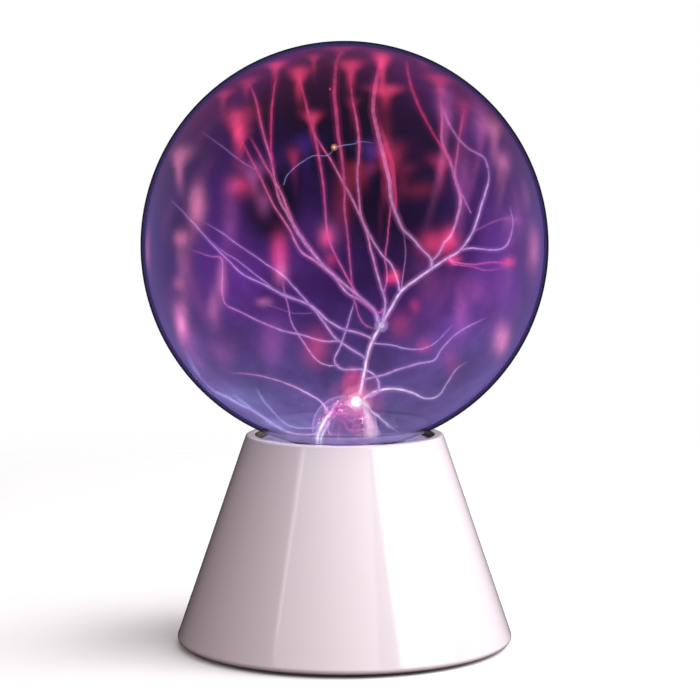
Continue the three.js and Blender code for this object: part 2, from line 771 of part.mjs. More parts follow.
add("circuit_board", circuitBoard(), boardGreen);
[-BOARD_HOLE_X, BOARD_HOLE_X]
  .flatMap((x) => [v3(x, -BOARD_HOLE_Y, PART_Z), v3(x, BOARD_HOLE_Y, PART_Z)])
  .forEach((at, i) => {
    const mesh = add(`board_screw_${i + 1}`, screw(...BOARD_SCREW), steel);
    mesh.rotation.x = Math.PI; // driven in from above
    mesh.position.copy(at);
  });

// Flyback transformer: an upright ferrite frame with a high-voltage winding on one leg and the
// primary coil on the other.
const CORE_X = -14;
const CORE_LEG = 10;
const CORE_DEPTH = 11;
const CORE_WINDOW = 20;
const LEG_OFFSET = (CORE_WINDOW + CORE_LEG) / 2;
const HV_LEG_X = CORE_X - LEG_OFFSET;
const WINDING_MARGIN = 1.2; // between a winding and the core's yokes
const WINDING_BOTTOM_Z = PART_Z + CORE_LEG + WINDING_MARGIN;
const WINDING_TOP_Z = PART_Z + CORE_LEG + CORE_WINDOW - WINDING_MARGIN;
const WINDING_INNER_R = 7.9;
const HV_WINDING_R = 15.5;
const PRIMARY_R = 10.4;
const PRIMARY_INSET = 2; // the primary is shorter at each end

function flybackCore() {
  const size = CORE_WINDOW + 2 * CORE_LEG;
  const z = PART_Z + size / 2;
  return cut(
    box(size, CORE_DEPTH, size, CORE_X, 0, z),
    box(CORE_WINDOW, 2 * CORE_DEPTH, CORE_WINDOW, CORE_X, 0, z),
  );
}

function coil(innerR, outerR, bottom, top, x, edge) {
  return lathe(
    [
      v2(innerR, bottom),
      v2(outerR - edge, bottom),
      v2(outerR, bottom + edge),
      v2(outerR, top - edge),
      v2(outerR - edge, top),
      v2(innerR, top),
    ],
    24,
  ).translate(x, 0, 0);
}

add("flyback_core", flybackCore(), ferrite);
add(
  "flyback_winding",
  coil(WINDING_INNER_R, HV_WINDING_R, WINDING_BOTTOM_Z, WINDING_TOP_Z, HV_LEG_X, 2),
  windingTape,
);
add(
  "primary_coil",
  coil(
    WINDING_INNER_R,
    PRIMARY_R,
    WINDING_BOTTOM_Z + PRIMARY_INSET,
    WINDING_TOP_Z - PRIMARY_INSET,
    CORE_X + LEG_OFFSET,
    0.6,
  ),
  copper,
);

// Power transistor on a finned heatsink, which stands along the right of the board.
const SINK_X = 38;
const SINK_HEIGHT = 26;
const SINK_PLATE = 3;
const SINK_WIDTH = 34;
const SINK_HOLE_R = 1.9;
const FIN_COUNT = 6;
const FIN_LENGTH = 8;
const FIN = 1.6;
const TAB = 1.3; // thickness of the transistor's metal tab
const TAB_Z = PART_Z + 16;

function heatsink() {
  const z = PART_Z + SINK_HEIGHT / 2;
  const plate = box(SINK_PLATE, SINK_WIDTH, SINK_HEIGHT, SINK_X, 0, z);
  const fins = [];
  for (let i = 0; i < FIN_COUNT; i++) {
    const y = ((i + 0.5) / FIN_COUNT - 0.5) * (SINK_WIDTH - 1.8);
    fins.push(box(FIN_LENGTH, FIN, SINK_HEIGHT, SINK_X + FIN_LENGTH / 2, y, z));
  }
  const hole = rod(SINK_HOLE_R, -SINK_PLATE, SINK_PLATE, 0, 0, 10).rotateY(Math.PI / 2);
  return cut(join(plate, ...fins), hole.translate(SINK_X, 0, TAB_Z));
}

function powerTransistor() {
  const back = SINK_X - SINK_PLATE / 2 - CLEARANCE;
  const tab = box(TAB, 10, 16, back - TAB / 2, 0, PART_Z + 12);
  const body = box(4.5, 10, 9, back - 2.25, 0, PART_Z + 8.5);
  const legs = [-2.5, 0, 2.5].map((y) => box(0.6, 0.9, 5, back - 2.6, y, PART_Z + 2.5));
  const hole = rod(SINK_HOLE_R, -3, 3, 0, 0, 10).rotateY(Math.PI / 2).translate(back, 0, TAB_Z);
  return cut(join(tab, body, ...legs), hole);
}

add("heatsink", heatsink(), aluminium);
add("power_transistor", powerTransistor(), blackPlastic);
const sinkScrew = add("heatsink_screw", screw(...SINK_SCREW), steel);
sinkScrew.rotation.y = Math.PI / 2;
sinkScrew.position.set(SINK_X - SINK_PLATE / 2 - 2 * CLEARANCE - TAB, 0, TAB_Z);

const can = (radius, height) =>
  lathe(
    [
      v2(0, 0),
      v2(radius - 0.6, 0),
      v2(radius, 0.8),
      v2(radius, height - 0.8),
      v2(radius - 0.8, height),
      v2(0, height),
    ],
    20,
  );

add("filter_capacitor_1", can(6.3, 25).translate(21, -20, PART_Z), capacitorSleeve);
add("filter_capacitor_2", can(5, 18).translate(21, 19, PART_Z), capacitorSleeve);
add(
  "film_capacitor",
  extrude(roundedRectangle(8.5, 3.2, 1.6), 0, 13).translate(-12, 23, PART_Z),
  filmBrown,
);
add(
  "timer_chip",
  cut(box(9.6, 6.4, 3.6, 2, -22, PART_Z + 1.8), rod(0.9, PART_Z + 3, PART_Z + 5, -1.9, -22, 8)),
  blackPlastic,
);

function trimmer() {
  const body = box(7, 7, 4, 0, 0, 2);
  const slotCut = box(3.6, 0.8, 1.2, 0, 0, 5);
  return cut(join(body, rod(2.4, 3, 5, 0, 0, 16)), slotCut);
}

add("sensitivity_trimmer", trimmer().translate(36, 24, PART_Z), trimmerBlue);
add(
  "microphone",
  cut(can(4.85, 5.2), rod(1.2, 4.4, 7, 0, 0, 10)).translate(34, -25, PART_Z),
  aluminium,
);

// An axial resistor lying along X with bent legs, as one piece.
function resistor() {
  const wireR = 0.4;
  const height = 2.2;
  const body = alongX(1.5, -3.4, 3.4, height, 12);
  const wire = alongX(wireR, -5.6, 5.6, height, 8);
  const legs = [-5.3, 5.3].map((x) => rod(wireR, 0, height + 0.2, x, 0, 8));
  return join(body, wire, ...legs);
}

add("resistor_1", resistor().translate(-32, -24, PART_Z), resistorBody);
add("resistor_2", resistor().translate(-14, -26, PART_Z), resistorBody);

// ---------------------------------------------------------------- leads held inside the base
const hvRoute = [
  v3(HV_LEG_X, 12, WINDING_TOP_Z + CLEARANCE),
  v3(HV_LEG_X, 12.5, WINDING_TOP_Z + 6),
  v3(HV_LEG_X + 4, 13, 58),
  v3(-14, 11, 62.5),
  v3(-4, 4, 60),
  v3(0, 0, 61.5),
  v3(0, 0, ROD_BOTTOM_Z - CLEARANCE),
];
add("hv_lead", lead(hvRoute, HV_LEAD_R, 18), redLead);

// A low-voltage lead from a point behind the panel down to the top of the board.
function panelLead(from, backwards, boardX, boardY) {
  const start = panelPoint(from.x, from.y, from.z);
  const out = panelPoint(from.x, from.y, from.z - backwards);
  const end = v3(boardX, boardY, PART_Z);
  return lead(
    [start, out, v3((out.x + boardX) / 2, boardY + 8, 27), v3(boardX, boardY, 23), end],
    LEAD_R,
    12,
  );
}

const terminalBack = SWITCH_BACK_Z - CLEARANCE - TERMINAL_LENGTH - CLEARANCE;
const jackBack = JACK_BACK_Z - CLEARANCE;
add("jack_lead_positive", panelLead(v3(JACK_X - 2.4, 0, jackBack), 4, -18, 29), redLead);
add("jack_lead_negative", panelLead(v3(JACK_X + 2.4, 0, jackBack), 4, -26, 29), blackLead);
add("switch_lead_1", panelLead(v3(SWITCH_X, TERMINAL_Y[2], terminalBack), 3, 6, 29), redLead);
add("switch_lead_2", panelLead(v3(SWITCH_X, TERMINAL_Y[1], terminalBack), 3, 11, 29), whiteLead);
add("switch_lead_3", panelLead(v3(SWITCH_X, TERMINAL_Y[0], terminalBack), 3, 16, 29), whiteLead);

export default plasmaBall;
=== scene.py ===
# The looks of the plasma ball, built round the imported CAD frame. Metres, +Z up, the front faces -Y.
import math
import random

import bpy
import numpy as np
from mathutils import Matrix, Vector


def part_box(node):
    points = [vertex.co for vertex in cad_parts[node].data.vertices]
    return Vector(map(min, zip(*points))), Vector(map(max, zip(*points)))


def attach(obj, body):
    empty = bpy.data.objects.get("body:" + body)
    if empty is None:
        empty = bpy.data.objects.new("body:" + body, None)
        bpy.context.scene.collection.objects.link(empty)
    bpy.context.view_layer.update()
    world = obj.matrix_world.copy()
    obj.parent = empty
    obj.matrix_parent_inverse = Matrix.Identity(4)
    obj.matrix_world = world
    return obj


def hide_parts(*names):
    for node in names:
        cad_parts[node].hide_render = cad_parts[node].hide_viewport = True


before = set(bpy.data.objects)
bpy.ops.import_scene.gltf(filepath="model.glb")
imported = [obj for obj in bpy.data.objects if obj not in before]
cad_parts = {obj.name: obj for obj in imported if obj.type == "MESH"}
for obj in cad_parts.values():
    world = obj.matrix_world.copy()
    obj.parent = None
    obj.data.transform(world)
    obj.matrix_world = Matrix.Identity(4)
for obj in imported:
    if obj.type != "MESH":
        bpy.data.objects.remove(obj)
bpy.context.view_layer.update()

MM = 0.001
TAU = 2 * math.pi

# ---- driving dimensions
globe_low, globe_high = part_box("globe_glass")
shell_low, shell_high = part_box("base_shell")
GLOBE_R = (globe_high[0] - globe_low[0]) / 2
GLOBE_Z = globe_high[2] - GLOBE_R
NECK_BOTTOM_Z = globe_low[2]
RIM_Z = shell_high[2]
SHELL_BOTTOM_Z = shell_low[2]

GLASS = 2 * MM
NECK_R = 22.5 * MM
NECK_FILLET = 4 * MM
WALL_ANGLE = math.radians(18.95)
WALL = 2.8 * MM
FOOT_FILLET = 2.2 * MM
FOOT_FILLET_R = shell_high[0] - FOOT_FILLET
RIM_FILLET = 1.8 * MM
LIP_FILLET = 1.0 * MM
WELL_R = 44.9 * MM
WELL_WALL = 2.4 * MM
SHELF_Z = 98 * MM
SHELF = 2.6 * MM
SHELF_HOLE_R = 27 * MM
GROOVE_TOP_Z = 100.5 * MM
ELECTRODE_R = 16 * MM
ELECTRODE_WALL = 1.4 * MM
ELECTRODE_TOP_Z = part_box("electrode_glass")[1][2]
DOME_Z = ELECTRODE_TOP_Z - ELECTRODE_R
FLARE_R = NECK_R - GLASS - 0.4 * MM
PANEL_Z = 26 * MM
PANEL_DEPTH = 4.2 * MM
PANEL_PLATE = 2.6 * MM
PANEL_HALF_X = 22 * MM
PANEL_HALF_Y = 15 * MM
SWITCH_X = -9.5 * MM
JACK_X = 12.5 * MM
COVER_SCREW_RING_R = 67.5 * MM
COLLAR_SCREW_RING_R = 34 * MM
FOOT_RING_R = 64 * MM

CAMERA_DISTANCE = 1.150
CAMERA_HEIGHT = 0.2572
CAMERA_PITCH = math.radians(5.42)
CAMERA_X = 0.0027
FOCAL_IN_FRAMES = 3.289  # focal length as a share of the frame's width

FINE = 192  # segments round the largest turned pieces
MEDIUM = 96
SMALL = 48

rng = random.Random(11)


# ---- mesh helpers
def arc(r, z, radius, a0, a1, steps):
    """Points of an arc in a profile, from angle a0 to a1."""
    turn = [a0 + (a1 - a0) * i / steps for i in range(steps + 1)]
    return [(r + radius * math.cos(a), z + radius * math.sin(a)) for a in turn]


def in_mm(*points):
    """Points given in millimetres."""
    return [(a * MM, b * MM) for a, b in points]


def in_scene(name, data):
    obj = bpy.data.objects.new(name, data)
    bpy.context.scene.collection.objects.link(obj)
    return obj


def rounded(obj, width):
    """Rounds a mesh's sharp edges."""
    bevel = obj.modifiers.new("edge", "BEVEL")
    bevel.width = width
    bevel.segments = 2
    bevel.limit_method = "ANGLE"
    bevel.angle_limit = math.radians(30)
    bevel.use_clamp_overlap = True


def piece(name, mesh, mat, *stands_for, slot=None, body="base", edge=0.0):
    """A new object in one material on a CAD body, with the nodes that it stands for."""
    mesh.name = name
    mesh.materials.clear()
    mesh.materials.append(mat)
    obj = in_scene(name, mesh)
    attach(obj, body)
    if stands_for:
        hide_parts(*stands_for)
    if edge:
        rounded(obj, edge)
    return obj


def soften(mesh, degrees=32):
    """Smooth shading with edges sharper than an angle kept."""
    mesh.shade_smooth()
    mesh.set_sharp_from_angle(angle=math.radians(degrees))
    return mesh


def turned(profile, segments, degrees=32):
    """A mesh of revolution about Z. The profile runs anticlockwise in (radius, height)."""
    on_axis = profile[0][0] == 0 and profile[-1][0] == 0
    verts, rings = [], []
    for r, z in profile:
        if r == 0:
            rings.append([len(verts)] * segments)
            verts.append((0, 0, z))
        else:
            rings.append(list(range(len(verts), len(verts) + segments)))
            turn = [TAU * k / segments for k in range(segments)]
            verts.extend((r * math.cos(a), r * math.sin(a), z) for a in turn)
    faces = []
    for i in range(len(rings) - on_axis):
        low, high = rings[i], rings[(i + 1) % len(rings)]
        for k in range(segments):
            n = (k + 1) % segments
            corners = [low[k], low[n], high[n], high[k]]
            face = [c for j, c in enumerate(corners) if c not in corners[:j]]
            if len(face) > 2:
                faces.append(face)
    mesh = bpy.data.meshes.new("turned")
    mesh.from_pydata(verts, [], faces)
    return soften(mesh, degrees)


def ring_place(radius, degrees):
    a = math.radians(degrees)
    return Vector((radius * math.cos(a), radius * math.sin(a), 0))


def evaluated(obj):
    """The mesh that an object's modifiers give."""
    graph = bpy.context.evaluated_depsgraph_get()
    return bpy.data.meshes.new_from_object(obj.evaluated_get(graph))


def combine(mesh, tools, operation):
    """The mesh with the tool meshes cut from it or joined to it."""
    scratch = in_scene("scratch", mesh)
    tool_objects = [in_scene("tool", tool) for tool in tools]
    for other in tool_objects:
        step = scratch.modifiers.new("step", "BOOLEAN")
        step.operation = operation
        step.solver = "EXACT"
        step.object = other
    result = evaluated(scratch)
    for o in [scratch, *tool_objects]:
        bpy.data.objects.remove(o)
    return result


def prism(outline, z0, z1, matrix=None):
    """A closed solid on an outline in XY, from height z0 to z1."""
    n = len(outline)
    verts = [(x, y, z0) for x, y in outline] + [(x, y, z1) for x, y in outline]
    faces = [list(range(n))[::-1], list(range(n, 2 * n))]
    faces += [[i, (i + 1) % n, n + (i + 1) % n, n + i] for i in range(n)]
    mesh = bpy.data.meshes.new("prism")
    mesh.from_pydata(verts, [], faces)
    if matrix is not None:
        mesh.transform(matrix)
    return mesh


def round_box(half_x, half_y, corner, x=0.0):
    """Outline of a rectangle with round corners."""
    quarter = TAU / 4
    centres = [(1, 1), (-1, 1), (-1, -1), (1, -1)]
    points = []
    for i, (sx, sy) in enumerate(centres):
        cx, cy = x + sx * (half_x - corner), sy * (half_y - corner)
        points += arc(cx, cy, corner, i * quarter, (i + 1) * quarter, 6)
    return points


def circle(radius, x=0.0, y=0.0, steps=48):
    return arc(x, y, radius, 0, TAU * (steps - 1) / steps, steps - 1)


def post(radius, at, z0, z1, steps=48):
    """An upright cylinder."""
    return prism(circle(radius, at.x, at.y, steps), z0, z1)


# ---- materials
class Nodes:
    """A short way to write a node tree."""

    def __init__(self, tree):
        self.tree = tree
        tree.nodes.clear()

    def add(self, kind, inputs=None, **settings):
        node = self.tree.nodes.new("ShaderNode" + kind)
        for key, value in settings.items():
            setattr(node, key, value)
        for key, value in (inputs or {}).items():
            if isinstance(value, bpy.types.NodeSocket):
                self.tree.links.new(value, node.inputs[key])
            else:
                node.inputs[key].default_value = value
        return node

    def math(self, operation, a, b=0.0, clamp=False):
        node = self.add("Math", {0: a, 1: b}, operation=operation)
        node.use_clamp = clamp
        return node.outputs[0]

    def span(self, value, low, high, to_low=0.0, to_high=1.0):
        """Smooth step of a value between two limits."""
        node = self.add("MapRange", {"Value": value}, interpolation_type="SMOOTHSTEP")
        node.inputs["From Min"].default_value = low
        node.inputs["From Max"].default_value = high
        node.inputs["To Min"].default_value = to_low
        node.inputs["To Max"].default_value = to_high
        return node.outputs["Result"]

    def mix(self, factor, a, b):
        node = self.add("Mix", data_type="RGBA")
        for key, value in ((0, factor), (6, a), (7, b)):
            if isinstance(value, bpy.types.NodeSocket):
                self.tree.links.new(value, node.inputs[key])
            else:
                node.inputs[key].default_value = value
        return node.outputs[2]

    def place(self):
        return self.add("TexCoord").outputs["Object"]

    def height(self):
        return self.add("SeparateXYZ", {0: self.place()}).outputs[2]

    def radius(self):
        """Distance from the vertical axis."""
        spot = self.add("SeparateXYZ", {0: self.place()})
        squares = [self.math("POWER", spot.outputs[i], 2.0) for i in (0, 1)]
        return self.math("SQRT", self.math("ADD", *squares))

    def facing(self):
        return self.add("LayerWeight").outputs["Facing"]

    def noise(self, scale, detail=3.0, roughness=0.5):
        inputs = {"Vector": self.place(), "Scale": scale, "Detail": detail, "Roughness": roughness}
        return self.add("TexNoise", inputs).outputs["Fac"]

    def bump(self, height, strength, distance):
        inputs = {"Height": height, "Strength": strength, "Distance": distance}
        return self.add("Bump", inputs).outputs["Normal"]

    def principled(self, inputs):
        self.surface(self.add("BsdfPrincipled", inputs))

    def see_through(self, opacity, shader):
        """Lets what is behind show through a shader."""
        clear = self.add("BsdfTransparent")
        return self.add("MixShader", {0: opacity, 1: clear.outputs[0], 2: shader.outputs[0]})

    def surface(self, shader):
        self.add("OutputMaterial", {"Surface": shader.outputs[0]})


def rgba(color):
    return (*color, 1.0)


def material(name, glows=False):
    mat = bpy.data.materials.new(name)
    mat.use_nodes = True
    if glows:  # its light is only seen, not sampled as a lamp
        mat.cycles.emission_sampling = "NONE"
    return mat, Nodes(mat.node_tree)


def plastic(name, color, roughness, grain=0.0, coat=0.0, mottle=0.06, scale=900, painted_well_shade=False):
    """A moulded plastic or rubber: slight colour and gloss variation and a fine grain."""
    mat, n = material(name)
    patches = n.noise(60, 4)
    darker = tuple(c * (1 - mottle) for c in color)
    shade = n.mix(patches, rgba(darker), rgba(color))
    if painted_well_shade:  # painted shade: the wall of the globe's well is painted dull brown where it lies in shadow
        past_wall = n.span(n.radius(), WELL_R + 0.1 * MM, WELL_R + 0.6 * MM)
        shade = n.mix(n.math("SUBTRACT", 1.0, past_wall), shade, WELL_PAINTED_SHADE)
    inputs = {
        "Base Color": shade,
        "Roughness": n.span(patches, 0.3, 0.7, roughness * 0.9, roughness * 1.1),
        "Coat Weight": coat,
        "Coat Roughness": COAT_ROUGHNESS,
    }
    if grain:
        inputs["Normal"] = n.bump(n.noise(scale, 2), grain, 0.2 * MM)
    n.principled(inputs)
    return mat


def metal(name, color, roughness, scale=400):
    """A metal with fine brushed variation in its gloss."""
    mat, n = material(name)
    fine = n.noise(scale, 5, 0.7)
    duller = tuple(c * 0.82 for c in color)
    n.principled({
        "Base Color": n.mix(fine, rgba(duller), rgba(color)),
        "Metallic": 1.0,
        "Roughness": n.span(fine, 0.25, 0.75, roughness * 0.85, roughness * 1.15),
        "Normal": n.bump(fine, 0.12, 0.1 * MM),
    })
    return mat


def dress(mat, *nodes):
    """Gives CAD nodes a material."""
    for name in nodes:
        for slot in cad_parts[name].material_slots:
            slot.link = "OBJECT"
            slot.material = mat


def numbered(name, count):
    return [f"{name}_{i}" for i in range(1, count + 1)]


# ---- camera
camera_data = bpy.data.cameras.new("camera")
camera_data.sensor_width = 36
camera_data.lens = 36 * FOCAL_IN_FRAMES
camera = in_scene("camera", camera_data)
camera.location = (CAMERA_X, -CAMERA_DISTANCE, CAMERA_HEIGHT)
camera.rotation_euler = (math.pi / 2 - CAMERA_PITCH, 0, 0)
bpy.context.scene.camera = camera

# ---- the materials
FILM_ALPHA = 0.8  # share of the light that the globe's glowing film stops
THROUGH = 1 - FILM_ALPHA
# painted shade for the shadowed wall of the globe's well
WELL_PAINTED_SHADE = (0.10, 0.075, 0.055, 1)
COAT_ROUGHNESS = 0.07

white_gloss = plastic(
    "white_gloss", (0.86, 0.765, 0.82), 0.13, coat=0.6, mottle=0.015, painted_well_shade=True
)
black_plastic = plastic("black_plastic", (0.018, 0.018, 0.02), 0.42, grain=0.25)
cover_plastic = plastic("cover_plastic", (0.025, 0.025, 0.028), 0.6, grain=0.5)
rubber = plastic("rubber", (0.02, 0.019, 0.019), 0.8, grain=0.6, mottle=0.3)
silicone = plastic("silicone", (0.78, 0.76, 0.71), 0.55, grain=0.2)
board_green = plastic("circuit_board", (0.02, 0.15, 0.05), 0.4, grain=0.2, mottle=0.3, scale=1500)
ferrite = plastic("ferrite", (0.04, 0.04, 0.045), 0.65, grain=0.4, mottle=0.3)
winding_tape = plastic("winding_tape", (0.68, 0.45, 0.06), 0.4, mottle=0.25)
capacitor_sleeve = plastic("capacitor_sleeve", (0.012, 0.025, 0.09), 0.3)
film_brown = plastic("film_capacitor", (0.28, 0.05, 0.02), 0.28)
resistor_body = plastic("resistor", (0.6, 0.47, 0.28), 0.5)
trimmer_blue = plastic("trimmer_blue", (0.03, 0.13, 0.48), 0.45)
red_lead = plastic("red_lead", (0.42, 0.015, 0.012), 0.45)
black_lead = plastic("black_lead", (0.012, 0.012, 0.012), 0.45)
white_lead = plastic("white_lead", (0.76, 0.75, 0.72), 0.45)
steel = metal("steel", (0.62, 0.63, 0.65), 0.3)
brass = metal("brass", (0.72, 0.5, 0.22), 0.28)
aluminium = metal("aluminium", (0.72, 0.73, 0.75), 0.38)
copper = metal("copper", (0.72, 0.33, 0.16), 0.32, scale=900)


def glass(name, tint, side_tint, dark_edge_shade, side_from, edge_from):
    """Clear glass that takes on its own colour towards its edge, with a painted dark outline where it is
    edge on.
    """
    mat, n = material(name)
    facing = n.facing()
    side = n.mix(n.span(facing, side_from, side_from + 0.08), rgba(tint), rgba(side_tint))
    n.principled({
        "Base Color": n.mix(n.span(facing, edge_from, edge_from + 0.08), side, rgba(dark_edge_shade)),
        "Roughness": 0.0,
        "IOR": 1.45,
        "Transmission Weight": 1.0,
        "Normal": n.bump(n.noise(18, 2), 0.04, 0.6 * MM),
    })
    return mat


# the last colour of each glass is its painted dark outline where it is edge on
globe_material = glass(
    "globe_glass", (1, 1, 1), (0.8, 0.72, 1.0), (0.02, 0.012, 0.08), 0.7, 0.82
)
electrode_material = glass(
    "electrode_glass", (0.98, 0.95, 0.98), (0.9, 0.8, 0.9), (0.5, 0.35, 0.5), 0.7, 0.85
)


def glow(name, softness):
    """Glowing gas, fainter at its edge. The mesh holds its colour, tint, and opacity, fade."""
    mat, n = material(name, glows=True)
    tint = n.add("Attribute", attribute_name="tint").outputs["Color"]
    fade = n.add("Attribute", attribute_name="fade").outputs["Fac"]
    middle = n.math("POWER", n.math("SUBTRACT", 1.0, n.facing()), softness)
    strength = n.span(n.noise(300, 2), 0.3, 0.7, 0.75, 1.25)
    light = n.add("Emission", {"Color": tint, "Strength": strength})
    n.surface(n.see_through(n.math("MULTIPLY", fade, middle), light))
    return mat


streamer_material = glow("streamer", softness=0.8)
halo_material = glow("streamer_halo", softness=2.0)

# ---- base shell
SLOPE = math.tan(WALL_ANGLE)
RADIAL = 1 / math.cos(WALL_ANGLE)
FOOT_FILLET_Z = SHELL_BOTTOM_Z + FOOT_FILLET
BOTTOM_LINE_R = FOOT_FILLET_R + FOOT_FILLET * RADIAL


def wall_r(z, inset=0.0):
    """Radius of the cone's outer wall at a height, or of a surface inset from it."""
    return BOTTOM_LINE_R - (z - FOOT_FILLET_Z) * SLOPE - inset * RADIAL


rim_z = RIM_Z - RIM_FILLET
outer = [
    *arc(FOOT_FILLET_R, FOOT_FILLET_Z, FOOT_FILLET, -math.pi / 2, WALL_ANGLE, 10),
    *arc(wall_r(rim_z, RIM_FILLET), rim_z, RIM_FILLET, WALL_ANGLE, math.pi / 2, 10),
]
wall = turned([
    (wall_r(SHELL_BOTTOM_Z, WALL + 0.4 * MM), SHELL_BOTTOM_Z),
    *outer,
    *arc(WELL_R + LIP_FILLET, RIM_Z - LIP_FILLET, LIP_FILLET, math.pi / 2, math.pi, 8),
    (WELL_R, SHELF_Z),
    (SHELF_HOLE_R, SHELF_Z),
    (SHELF_HOLE_R, SHELF_Z - SHELF),
    (WELL_R + WELL_WALL, SHELF_Z - SHELF),
    (WELL_R + WELL_WALL, GROOVE_TOP_Z),
    (wall_r(GROOVE_TOP_Z, WALL), GROOVE_TOP_Z),
], FINE)
cone = turned([(0, SHELL_BOTTOM_Z), *outer, (0, RIM_Z)], FINE)
inside_cone = turned([
    (0, SHELL_BOTTOM_Z),
    (wall_r(SHELL_BOTTOM_Z, MM), SHELL_BOTTOM_Z),
    (wall_r(RIM_Z, MM), RIM_Z),
    (0, RIM_Z),
], FINE)

panel_normal = Vector((0, math.cos(WALL_ANGLE), math.sin(WALL_ANGLE)))
panel_up = Vector((0, -math.sin(WALL_ANGLE), math.cos(WALL_ANGLE)))
panel_at = Vector((0, wall_r(PANEL_Z), PANEL_Z)) - PANEL_DEPTH * panel_normal
panel_turn = Matrix((Vector((-1, 0, 0)), panel_up, panel_normal)).transposed()
panel = Matrix.Translation(panel_at) @ panel_turn.to_4x4()

SWITCH_BODY_X = 7.6 * MM
SWITCH_BODY_Y = 10.6 * MM
JACK_HOLE_R = 4.3 * MM
COVER_BOSS_Z = 9.3 * MM
COVER_BOSS_TOP_Z = 50 * MM
COVER_HOLE_TOP_Z = 26 * MM
COLLAR_BOSS_Z = 86 * MM
COLLAR_HOLE_TOP_Z = 94.4 * MM
COVER_SCREW_ANGLES = (45, 135, 225, 315)
COLLAR_SCREW_ANGLES = (90, 210, 330)

block_outline = round_box(PANEL_HALF_X + 2.4 * MM, PANEL_HALF_Y + 2.4 * MM, 4 * MM)
block = combine(
    prism(block_outline, -PANEL_PLATE, 2 * PANEL_DEPTH, panel), [cone], "INTERSECT"
)
bosses, boss_holes = [], []
for angle in COVER_SCREW_ANGLES:
    at = ring_place(COVER_SCREW_RING_R, angle)
    boss = post(4 * MM, at, COVER_BOSS_Z, COVER_BOSS_TOP_Z)
    bosses.append(combine(boss, [inside_cone], "INTERSECT"))
    boss_holes.append(post(1.8 * MM, at, COVER_BOSS_Z - MM, COVER_HOLE_TOP_Z, 24))
for angle in COLLAR_SCREW_ANGLES:
    at = ring_place(COLLAR_SCREW_RING_R, angle)
    bosses.append(post(3.6 * MM, at, COLLAR_BOSS_Z, SHELF_Z - SHELF / 2))
    boss_holes.append(post(1.6 * MM, at, COLLAR_BOSS_Z - MM, COLLAR_HOLE_TOP_Z, 24))
through = PANEL_PLATE + MM
shell_mesh = combine(wall, [block, *bosses], "UNION")
shell_mesh = combine(shell_mesh, [
    prism(round_box(PANEL_HALF_X, PANEL_HALF_Y, 3 * MM), 0, 3 * PANEL_DEPTH, panel),
    prism(
        round_box(SWITCH_BODY_X + 0.35 * MM, SWITCH_BODY_Y + 0.35 * MM, 0.4 * MM, SWITCH_X),
        -through, through, panel,
    ),
    prism(circle(JACK_HOLE_R, JACK_X), -through, through, panel),
    *boss_holes,
], "DIFFERENCE")
shell = piece("base_shell_moulding", soften(shell_mesh), white_gloss, "base_shell")
shell.visible_glossy = False  # the globe stays free of its mirror image
shell.visible_transmission = False

# ---- globe and electrode glass
def globe_profile(inset):
    """The globe's outer wall, or a surface inset from it, from the neck's bottom up to the top."""
    fillet_r = NECK_R + NECK_FILLET
    drop = math.sqrt((GLOBE_R + NECK_FILLET) ** 2 - fillet_r**2)
    start = math.atan2(-drop, fillet_r)
    turn = start + math.pi
    return [
        (NECK_R - inset, NECK_BOTTOM_Z),
        *arc(fillet_r, GLOBE_Z - drop, NECK_FILLET + inset, math.pi, turn, 10),
        *arc(0, GLOBE_Z, GLOBE_R - inset, start, math.pi / 2, 110)[1:-1],
        (0, GLOBE_Z + GLOBE_R - inset),
    ]


globe_mesh = turned(globe_profile(GLASS)[::-1] + globe_profile(0), FINE, 60)
globe = piece("globe_glass_fine", globe_mesh, globe_material, "globe_glass")
globe.visible_shadow = False

flare = FLARE_R - ELECTRODE_R
inner_dome = ELECTRODE_R - ELECTRODE_WALL
FLARE_Z = 81 * MM
STEM_RIM_Z = NECK_BOTTOM_Z + 1.2 * MM
electrode = piece("electrode_glass_fine", turned([
    (0, DOME_Z + inner_dome),
    *arc(0, DOME_Z, inner_dome, math.pi / 2, 0, 30)[1:],
    *arc(inner_dome + flare, FLARE_Z, flare, math.pi, 1.4 * math.pi, 8),
    (FLARE_R - ELECTRODE_WALL, STEM_RIM_Z),
    (FLARE_R, STEM_RIM_Z),
    (FLARE_R, STEM_RIM_Z + ELECTRODE_WALL),
    *arc(ELECTRODE_R + flare, FLARE_Z, flare, 1.4 * math.pi, math.pi, 8),
    *arc(0, DOME_Z, ELECTRODE_R, 0, math.pi / 2, 30)[:-1],
    (0, ELECTRODE_TOP_Z),
], MEDIUM, 60), electrode_material, "electrode_glass")
electrode.visible_shadow = False

# ---- globe seat
# radii over which the gasket's painted violet glow fades out
SEAT_FROM_R = 40.5 * MM
SEAT_TO_R = 42.5 * MM


def gasket_rubber_painted_glow():
    """Brown-black rubber with a painted violet glow, standing for the gas's light on it, where the globe
    lies over it.
    """
    mat, n = material("gasket_rubber_painted_glow", glows=True)
    painted_glow_under_globe = n.math("SUBTRACT", 1.0, n.span(n.radius(), SEAT_FROM_R, SEAT_TO_R))
    n.principled({
        "Base Color": n.mix(n.noise(500, 3), (0.030, 0.020, 0.015, 1), (0.075, 0.052, 0.038, 1)),
        "Roughness": 0.8,
        "Emission Color": (0.26, 0.22, 0.50, 1),
        "Emission Strength": n.math("MULTIPLY", painted_glow_under_globe, n.span(n.noise(60, 3), 0.3, 0.7, 0.5, 0.9)),
        "Normal": n.bump(n.noise(1500, 3), 0.3, 0.2 * MM),
    })
    return mat


piece("globe_gasket_fine", turned([
    (30.5 * MM, SHELF_Z + 0.3 * MM),
    (WELL_R - 0.4 * MM, SHELF_Z + 0.3 * MM),
    *arc(43.9 * MM, 102.0 * MM, 0.6 * MM, 0, math.pi / 3, 4),
    *arc(36.0 * MM, 102.9 * MM, 1.4 * MM, math.pi / 2.4, math.pi / 1.7, 6),
    *arc(31.2 * MM, 102.1 * MM, 0.7 * MM, math.pi / 1.7, math.pi, 5),
], FINE), gasket_rubber_painted_glow(), "globe_gasket", slot="rubber")

